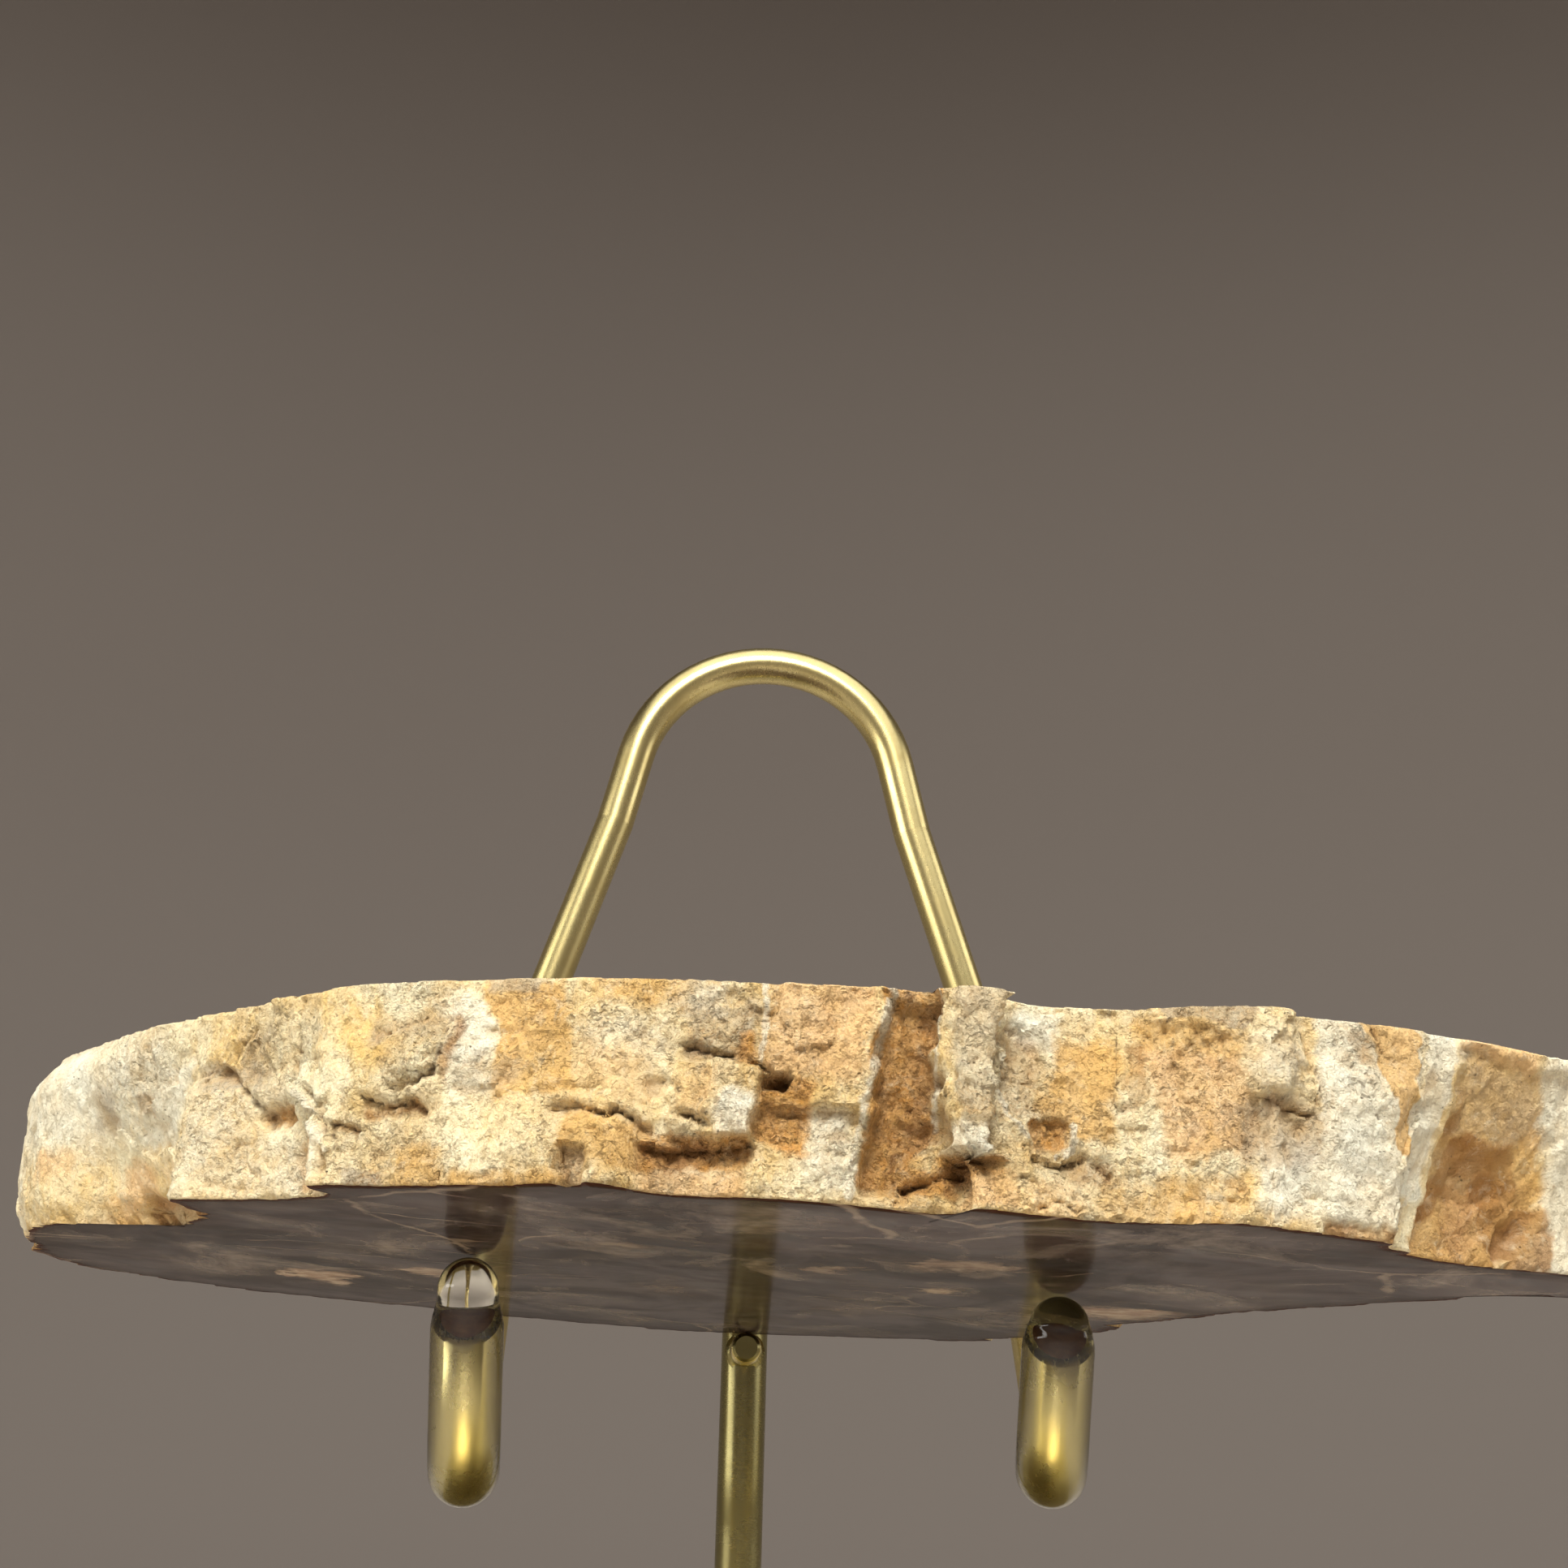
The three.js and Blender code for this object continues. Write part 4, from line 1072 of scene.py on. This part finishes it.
def hookFoot(hook):
    return Vector((hook["side"] * hook["footX"], cradle["standY"], hook["runZ"]))


def hookRise(hook):
    return (capCentre(hook) - hookCorner(hook)).normalized()


def freeEnd(hook):
    # middle of the wire's cut end, inside its cap
    corner, tip = hookCorner(hook), capCentre(hook)
    return corner.lerp(tip, (hook["wireEnd"] - corner.z) / (tip.z - corner.z))


def halfWire(hook):
    # corners from the hook's free end up to the arch's leg, each with its bend radius
    return [
        (freeEnd(hook), 0.0),
        (hookCorner(hook), cradle["hookRadius"]),
        (hookFoot(hook), cradle["footRadius"]),
        (legPoint(hook, cradle["kneeZ"]), cradle["kneeRadius"]),
        (legPoint(hook, cradle["kinkZ"], cradle["kink"]), cradle["kinkRadius"]),
    ]


def snipped(hook, offset):
    # an offset from the middle of a hook's free end, moved onto the slant of its cut
    rise = hookRise(hook)
    forward = Vector((1, 0, 0)).cross(rise).normalized()
    forward *= -1 if forward.y > 0 else 1
    return offset - rise * offset.dot(forward) * math.tan(cradle["snip"])


def bentLine(corners):
    # an open line of edges that carries its bend radii
    mesh = bpy.data.meshes.new("bentLine")
    edges = [(n, n + 1) for n in range(len(corners) - 1)]
    mesh.from_pydata([place * mm for place, _ in corners], edges, [])
    addMask(mesh, "bend", [radius * mm for _, radius in corners])
    return mesh


def wireTree(material):
    g = Geometry("bentWire", {"Thickness": "Float", "Sides": "Int"})
    curve = g.node("GeometryNodeMeshToCurve", None, {0: g.given["Geometry"]})[0]
    bend = g.node("GeometryNodeInputNamedAttribute", {"data_type": "FLOAT"}, {"Name": "bend"})[0]
    rounded = g.node("GeometryNodeFilletCurve", {"mode": "POLY"}, {
        "Curve": curve, "Count": 28, "Radius": bend, "Limit Radius": True,
    })[0]
    half = g.node("ShaderNodeMath", {"operation": "MULTIPLY"}, {0: g.given["Thickness"], 1: 0.5})[0]
    g.finish(g.tube(rounded, g.circle(half, g.given["Sides"])), material)
    return g


def smoothed(mesh, angle=40):
    mesh.polygons.foreach_set("use_smooth", [True] * len(mesh.polygons))
    mesh.set_sharp_from_angle(angle=math.radians(angle))
    return mesh


def archApex():
    # height where lines from the two nips, touching the arch, would meet
    centreZ = cradle["archTop"] - cradle["archRadius"]
    x, drop = legX(cradle["kinkZ"]) - cradle["kink"], centreZ - cradle["kinkZ"]
    tilt = math.atan2(x, drop) - math.asin(cradle["archRadius"] / math.hypot(x, drop))
    return centreZ + cradle["archRadius"] / math.sin(tilt)


def cutEnds(mesh):
    # the free ends are cut on a slant and their edges filed off
    for hook in (leftHook, rightHook):
        rise, end = hookRise(hook), freeEnd(hook) * mm
        for vertex in mesh.vertices:
            gap = vertex.co - end
            if gap.length < cradle["wire"] * mm and abs(gap.dot(rise)) < 0.01 * mm:
                vertex.co = end + snipped(hook, gap)
    work = bmesh.new()
    work.from_mesh(mesh)
    ends = [face for face in work.faces if len(face.verts) > 4]
    burr = cradle["burr"] * mm
    bmesh.ops.inset_individual(work, faces=ends, thickness=burr, depth=burr * 0.55)
    work.to_mesh(mesh)
    work.free()
    # the end faces take the cut material, whose dark colour is painted reflection
    for face in mesh.polygons:
        face.material_index = int(len(face.vertices) > 4)


apex = Vector((cradle["archX"], cradle["standY"], archApex()))
cradleLine = bentLine(halfWire(leftHook) + [(apex, cradle["archRadius"])] + halfWire(rightHook)[::-1])
wireSizes = {"Thickness": cradle["wire"] * mm, "Sides": cradle["wireSides"]}
wireMesh = wireTree(brassWire).grow("cradleWire", cradleLine, wireSizes)
wireMesh.materials.append(brassCutPaintedDark)
cutEnds(wireMesh)
addPiece("cradleWire", smoothed(wireMesh), [], ["cradle_wire"])
print("cradle:", len(wireMesh.polygons), "faces")


def quarterTurn(steps):
    # sines and cosines from 0 to 90 degrees
    angles = [n / steps * math.pi / 2 for n in range(steps + 1)]
    return [(math.sin(angle), math.cos(angle)) for angle in angles]


def fullTurn(sides):
    # sines and cosines once round
    angles = [n * 2 * math.pi / sides for n in range(sides)]
    return [(math.sin(angle), math.cos(angle)) for angle in angles]


def capRings(hook):
    # the bend's axis, then the outer and the inner rings along the hook's line, each as its place,
    # heading and radius, with the point that closes them
    corner, tip, end = hookCorner(hook), capCentre(hook), freeEnd(hook)
    run, rise = (hookFoot(hook) - corner).normalized(), hookRise(hook)
    axis, turn = run.cross(rise).normalized(), run.angle(rise)
    radius = cradle["hookRadius"]
    setback = radius / math.tan(turn / 2)
    centre = corner + (run + rise).normalized() * (radius / math.sin(turn / 2))
    line = [(corner + run * (setback + cap["alongRun"] * t), -run) for t in (1, 0.97, 0.6, 0.3)]
    for n in range(cap["bendSteps"] + 1):
        angle = (math.pi - turn) * n / cap["bendSteps"]
        swing = Matrix.Rotation(-angle, 3, axis)
        line.append((centre + swing @ (corner + run * setback - centre), swing @ -run))

    half, bore, crown = cap["across"] / 2, cap["bore"] / 2, cap["crown"] / 2
    peak = tip + rise * ((half - crown) / rise.z)
    roof = end - rise * cap["roof"]
    bendEnd = line[-1][0]
    outer = [(place, heading, half) for place, heading in line]
    outer[0] = (*line[0], half * cap["lip"])
    for n in range(1, 25):
        place = bendEnd.lerp(peak, n / 24)
        bare = smooth((place - end).dot(rise), *cap["narrowing"])
        outer.append((place, rise, half + (crown - half) * bare))
    outer += [(peak + rise * crown * sine, rise, crown * cosine) for sine, cosine in quarterTurn(12)[1:-1]]
    inner = [(place, heading, bore) for place, heading in line]
    inner += [(bendEnd.lerp(roof, n / 4), rise, bore) for n in range(1, 5)]
    return axis, (outer, peak + rise * crown), (inner, roof)


def sweptCap(hook, sides=48):
    # clear tube with a round plug for its end, pushed over the wire
    axis, *shells = capRings(hook)
    points, faces = [], []
    for rings, top in shells:
        first = len(points)
        for place, heading, size in rings:
            up = heading.cross(axis).normalized()
            for sine, cosine in fullTurn(sides):
                offset = (axis * cosine + up * sine) * size
                points.append((place + (snipped(hook, offset) if place == top else offset)) * mm)
        faces += ringFaces(len(rings), sides, first)
        last = len(points) - sides
        points.append(top * mm)
        faces += [(last + n, last + (n + 1) % sides, len(points) - 1) for n in range(sides)]
        if first:  # the lip at the open end
            around = [(n, (n + 1) % sides) for n in range(sides)]
            faces += [(a, b, first + b, first + a) for a, b in around]
    mesh = bpy.data.meshes.new(hook["node"])
    mesh.from_pydata(points, [], faces)
    return mesh


def facingOut(mesh):
    # doubles merged, then normals turned outwards
    work = bmesh.new()
    work.from_mesh(mesh)
    bmesh.ops.remove_doubles(work, verts=work.verts, dist=1e-7)
    bmesh.ops.recalc_face_normals(work, faces=work.faces)
    work.to_mesh(mesh)
    work.free()
    return mesh


for hook, name in ((leftHook, "capLeft"), (rightHook, "capRight")):
    addPiece(name, smoothed(facingOut(sweptCap(hook)), 50), [vinyl], [hook["node"]])
print("caps")


def turned(name, profile, start, heading, sides=48):
    # a turned rod: radius and distance along its axis, closed at both ends
    heading = heading.normalized()
    across = heading.orthogonal().normalized()
    up = heading.cross(across)
    spokes = [across * cosine + up * sine for sine, cosine in fullTurn(sides)]
    points = []
    for radius, along in profile:
        points += [(start + heading * along + spoke * radius) * mm for spoke in spokes]
    return smoothed(facingOut(ringMesh(name, points, sides)), 35)


def fillet(radius, size):
    # concave braze bead that runs out from a rod onto what it stands on
    return [(radius + size * (1 - sine), size * (1 - cosine)) for sine, cosine in quarterTurn(6)]


rods = {
    "postWidth": 4.4,
    "barWidth": 4.0,
    "barZ": 62.0,
    "pegWidth": 2.6,
    "pegFront": 31.0,
    "pegChamfer": 0.25,
    "pegDrop": 0.1,  # the peg stays this far under the slice
    "braze": 0.9,  # size of the bead at the post's foot
    "postBead": 0.5,
    "postSunk": 0.4,  # the post's top reaches this far into the crossbar
    "barBead": 0.7,  # share of the post's
    "barSunk": 0.5,  # how far the crossbar bites into the wire
    "pegBead": 0.6,
    "pegSunk": 0.3,
    "threadPitch": 0.8,  # the peg is a threaded stud
    "threadBead": 0.2,
    "threadSunk": 0.08,
    "threadEnds": (0.5, 0.7),  # bare lengths at the peg's tip and foot
}
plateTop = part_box("base")[1].z / mm
postRadius = rods["postWidth"] / 2

# Post: from the plate to the crossbar, with a braze bead at each end.
postLength = rods["barZ"] - rods["barWidth"] / 2 - plateTop
postProfile = fillet(postRadius, rods["braze"])
postProfile += [(postRadius, postLength * share) for share in (0.1, 0.4, 0.7)]
postTop = postLength + rods["postSunk"]
postProfile += [(r, postTop - a) for r, a in fillet(postRadius, rods["postBead"])[::-1]]
postMesh = turned("post", postProfile, Vector((0, cradle["standY"], plateTop)), Vector((0, 0, 1)))
addPiece("post", postMesh, [shadedBrassRod], ["post"])


def ringTree(material):
    g = Geometry("threadRings", {"Count": "Int", "Pitch": "Float", "Radius": "Float", "Bead": "Float"})
    step = g.node("ShaderNodeCombineXYZ", None, {"Z": g.given["Pitch"]})[0]
    places = {"Count": g.given["Count"], "Offset": step}
    line = g.node("GeometryNodeMeshLine", {"mode": "OFFSET"}, places)[0]
    ring = g.tube(g.circle(g.given["Radius"], 48), g.circle(g.given["Bead"], 10))
    many = g.node("GeometryNodeInstanceOnPoints", None, {"Points": line, "Instance": ring})[0]
    g.finish(many, material)
    return g


def barEnd(hook):
    # where the crossbar meets one leg's centre line
    share = (cradle["kneeZ"] - rods["barZ"]) / (cradle["kneeZ"] - hook["runZ"])
    knee = cradle["archX"] + hook["side"] * legX(cradle["kneeZ"])
    return knee + (hook["side"] * hook["footX"] - knee) * share


# Crossbar: brazed between the legs, so its ends flare onto the wire.
sunk = cradle["wire"] / 2 - rods["barSunk"]
barLeft, barRight = barEnd(leftHook) + sunk, barEnd(rightHook) - sunk
barLength, barRadius = barRight - barLeft, rods["barWidth"] / 2
barBead = fillet(barRadius, rods["braze"] * rods["barBead"])
barProfile = barBead + [(barRadius, barLength * t) for t in (0.3, 0.7)]
barProfile += [(r, barLength - a) for r, a in barBead[::-1]]
barStart = Vector((barLeft, cradle["standY"], rods["barZ"]))
barMesh = turned("crossbar", barProfile, barStart, Vector((1, 0, 0)))
addPiece("crossbar", barMesh, [shadedBrassRod], ["crossbar"])

# Peg: sticks out of the post's front under the slice's back edge.
pegRadius = rods["pegWidth"] / 2
pegZ = slab["underside"] - rods["pegDrop"] - pegRadius
pegLength = cradle["standY"] - postRadius - rods["pegFront"] + rods["pegSunk"]
chamfer = rods["pegChamfer"]
pegProfile = [(pegRadius - chamfer, 0), (pegRadius, chamfer), (pegRadius, pegLength * 0.5)]
pegProfile += [(r, pegLength - a) for r, a in fillet(pegRadius, rods["pegBead"])[::-1]]
pegMesh = turned("restPeg", pegProfile, Vector((0, rods["pegFront"], pegZ)), Vector((0, 1, 0)))
addPiece("restPeg", pegMesh, [shadedBrassRod], ["rest_peg"])

threadStart = bpy.data.meshes.new("threadStart")
threadStart.from_pydata([(0, 0, 0)], [], [])
threadMesh = ringTree(brassWire).grow("pegThread", threadStart, {
    "Count": int((pegLength - sum(rods["threadEnds"])) / rods["threadPitch"]) + 1,
    "Pitch": rods["threadPitch"] * mm,
    "Radius": (pegRadius - rods["threadSunk"]) * mm,
    "Bead": rods["threadBead"] * mm,
})
threadMesh.transform(Matrix.Rotation(-math.pi / 2, 4, "X"))
threadY = rods["pegFront"] + rods["threadEnds"][0]
threadMesh.transform(Matrix.Translation(Vector((0, threadY, pegZ)) * mm))
addPiece("pegThread", smoothed(threadMesh, 60), [brassWire])
print("rods")

plate = {
    "corner": 12.0,
    "edge": 1.2,  # the rounding of its upper edge
    "underside": 0.5,  # and of its lower one
    "edgeSteps": 6,
    "cornerSteps": 16,
}


def plateMesh():
    # rounded plate: loops of the same outline, stepped in along its rounded edges
    low, high = (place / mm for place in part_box("base"))
    middle, half = (low + high) / 2, (high - low) / 2
    edge, underside, corner = plate["edge"], plate["underside"], plate["corner"]
    arc = quarterTurn(plate["edgeSteps"])
    rows = [(underside * (1 - sine), low.z + underside * (1 - cosine)) for sine, cosine in arc]
    rows += [(edge * (1 - cosine), high.z - edge * (1 - sine)) for sine, cosine in arc]
    points = []
    for insetBy, z in rows:
        radius = corner - insetBy
        for quarter, (sx, sy) in enumerate(((1, -1), (1, 1), (-1, 1), (-1, -1))):
            cx, cy = middle.x + sx * (half.x - corner), middle.y + sy * (half.y - corner)
            for n in range(plate["cornerSteps"] + 1):
                angle = (quarter - 1 + n / plate["cornerSteps"]) * math.pi / 2
                place = (cx + radius * math.cos(angle), cy + radius * math.sin(angle), z)
                points.append(Vector(place) * mm)
    return smoothed(facingOut(ringMesh("basePlate", points, len(points) // len(rows))), 35)


addPiece("basePlate", plateMesh(), [brassPlate], ["base"])
print("base")

studio = {
    "floor": tint(214, 208, 199),
    "wall": tint(177, 168, 160),
    "near": 60.0,  # the floor is painted pale by the stand, a painted pool of light, and gives way to the backdrop's grey from here
    "far": 320.0,  # to here, in millimetres
    "ambient": tint(150, 144, 138),
    "ambientStrength": 0.5,
    "floorReach": 0.8,
    "sweep": 0.6,  # radius of the curve from floor to wall
    "height": 2.4,
    "camera": (-5.33, -172.95, 28.0),
    "turn": (2.1, 19.4, 1.5),  # yaw, pitch and roll in degrees
    "lens": 48.45,
}
# Lights: place, aim and size in metres, power in watts, spread in degrees, colour.
lights = {
    "keyLight": ((-0.04, -0.42, 0.4), (0, -0.07, 0.045), (0.16, 0.12), 0.265, 50, (1.0, 0.96, 0.9)),
    "topLight": ((0.1, -0.55, 1.05), (0, 0, 0.05), (1.8, 1.7), 8.5, 140, (1.0, 0.98, 0.95)),
    "leftFill": ((-0.7, -0.3, 0.25), (0, -0.02, 0.06), (0.5, 0.4), 1.3, 120, (1.0, 0.97, 0.9)),
    "rightFill": ((0.8, -0.1, 0.35), (0, 0, 0.06), (0.5, 0.5), 0.7, 120, (1.0, 0.98, 0.96)),
    "wallLight": ((0, 0.3, 0.9), (0, 1.3, 0.3), (1.6, 0.4), 0.8, 150, (1.0, 0.97, 0.94)),
}


def floorMaterial():
    s = Shader("paleFloor")
    x, y, _ = s.axes()
    away = (x * x + y * y).power(0.5) + s.noise(0.004, 3) * 120
    # painted pool of light: pale by the stand, greyer further off
    colour = s.mix(away.over(studio["near"], studio["far"]), studio["floor"], studio["wall"])
    return s.surface({"Base Color": colour, "Roughness": 0.9, "Specular IOR Level": 0.1})


def bowlFloor(sides=128):
    # a round floor that curves up into a plain wall all the way round
    reach, sweep = studio["floorReach"], studio["sweep"]
    profile = [(reach * t, 0) for t in (0.1, 0.4, 0.7, 1)]
    profile += [(reach + sweep * sine, sweep * (1 - cosine)) for sine, cosine in quarterTurn(24)[1:]]
    profile.append((reach + sweep, studio["height"]))
    around = fullTurn(sides)
    points = [(r * cosine, r * sine, z - 0.0001) for r, z in profile for sine, cosine in around]
    faces = [tuple(range(sides))] + [face[::-1] for face in ringFaces(len(profile), sides)]
    mesh = bpy.data.meshes.new("studioFloor")
    mesh.from_pydata(points, [], faces)
    mesh.polygons.foreach_set("use_smooth", [True] * len(faces))
    mesh.materials.append(floorMaterial())
    addObject("studioFloor", mesh)


def softLight(name, place, aim, size, power, spread, colour):
    data = bpy.data.lights.new(name, "AREA")
    data.shape = "RECTANGLE"
    data.size, data.size_y = size
    data.energy = power
    data.spread = math.radians(spread)
    data.color = colour
    lamp = addObject(name, data)
    lamp.location = place
    lamp.rotation_euler = (Vector(aim) - Vector(place)).to_track_quat("-Z", "Y").to_euler()


def placeCamera():
    yaw, pitch, roll = (math.radians(angle) for angle in studio["turn"])
    ahead = Vector((0, math.cos(pitch), math.sin(pitch)))
    right = Vector((1, 0, 0))
    up = right.cross(ahead)
    rolledRight = right * math.cos(roll) + up * math.sin(roll)
    rolledUp = up * math.cos(roll) - right * math.sin(roll)
    turn = Matrix.Rotation(-yaw, 3, "Z")
    columns = [turn @ rolledRight, turn @ rolledUp, turn @ -ahead]
    data = bpy.data.cameras.new("camera")
    data.lens, data.sensor_width = studio["lens"], 36
    data.clip_start = 0.005
    camera = addObject("camera", data)
    camera.matrix_world = Matrix(columns).transposed().to_4x4()
    camera.location = Vector(studio["camera"]) * mm
    bpy.context.scene.camera = camera


bowlFloor()
for name, settings in lights.items():
    softLight(name, *settings)
world = bpy.data.worlds.new("studioWorld")
world.use_nodes = True
ambient = world.node_tree.nodes["Background"].inputs
ambient["Color"].default_value = studio["ambient"]
ambient["Strength"].default_value = studio["ambientStrength"]
bpy.context.scene.world = world
bpy.context.scene.view_settings.view_transform = "Standard"
placeCamera()
print("studio and camera")
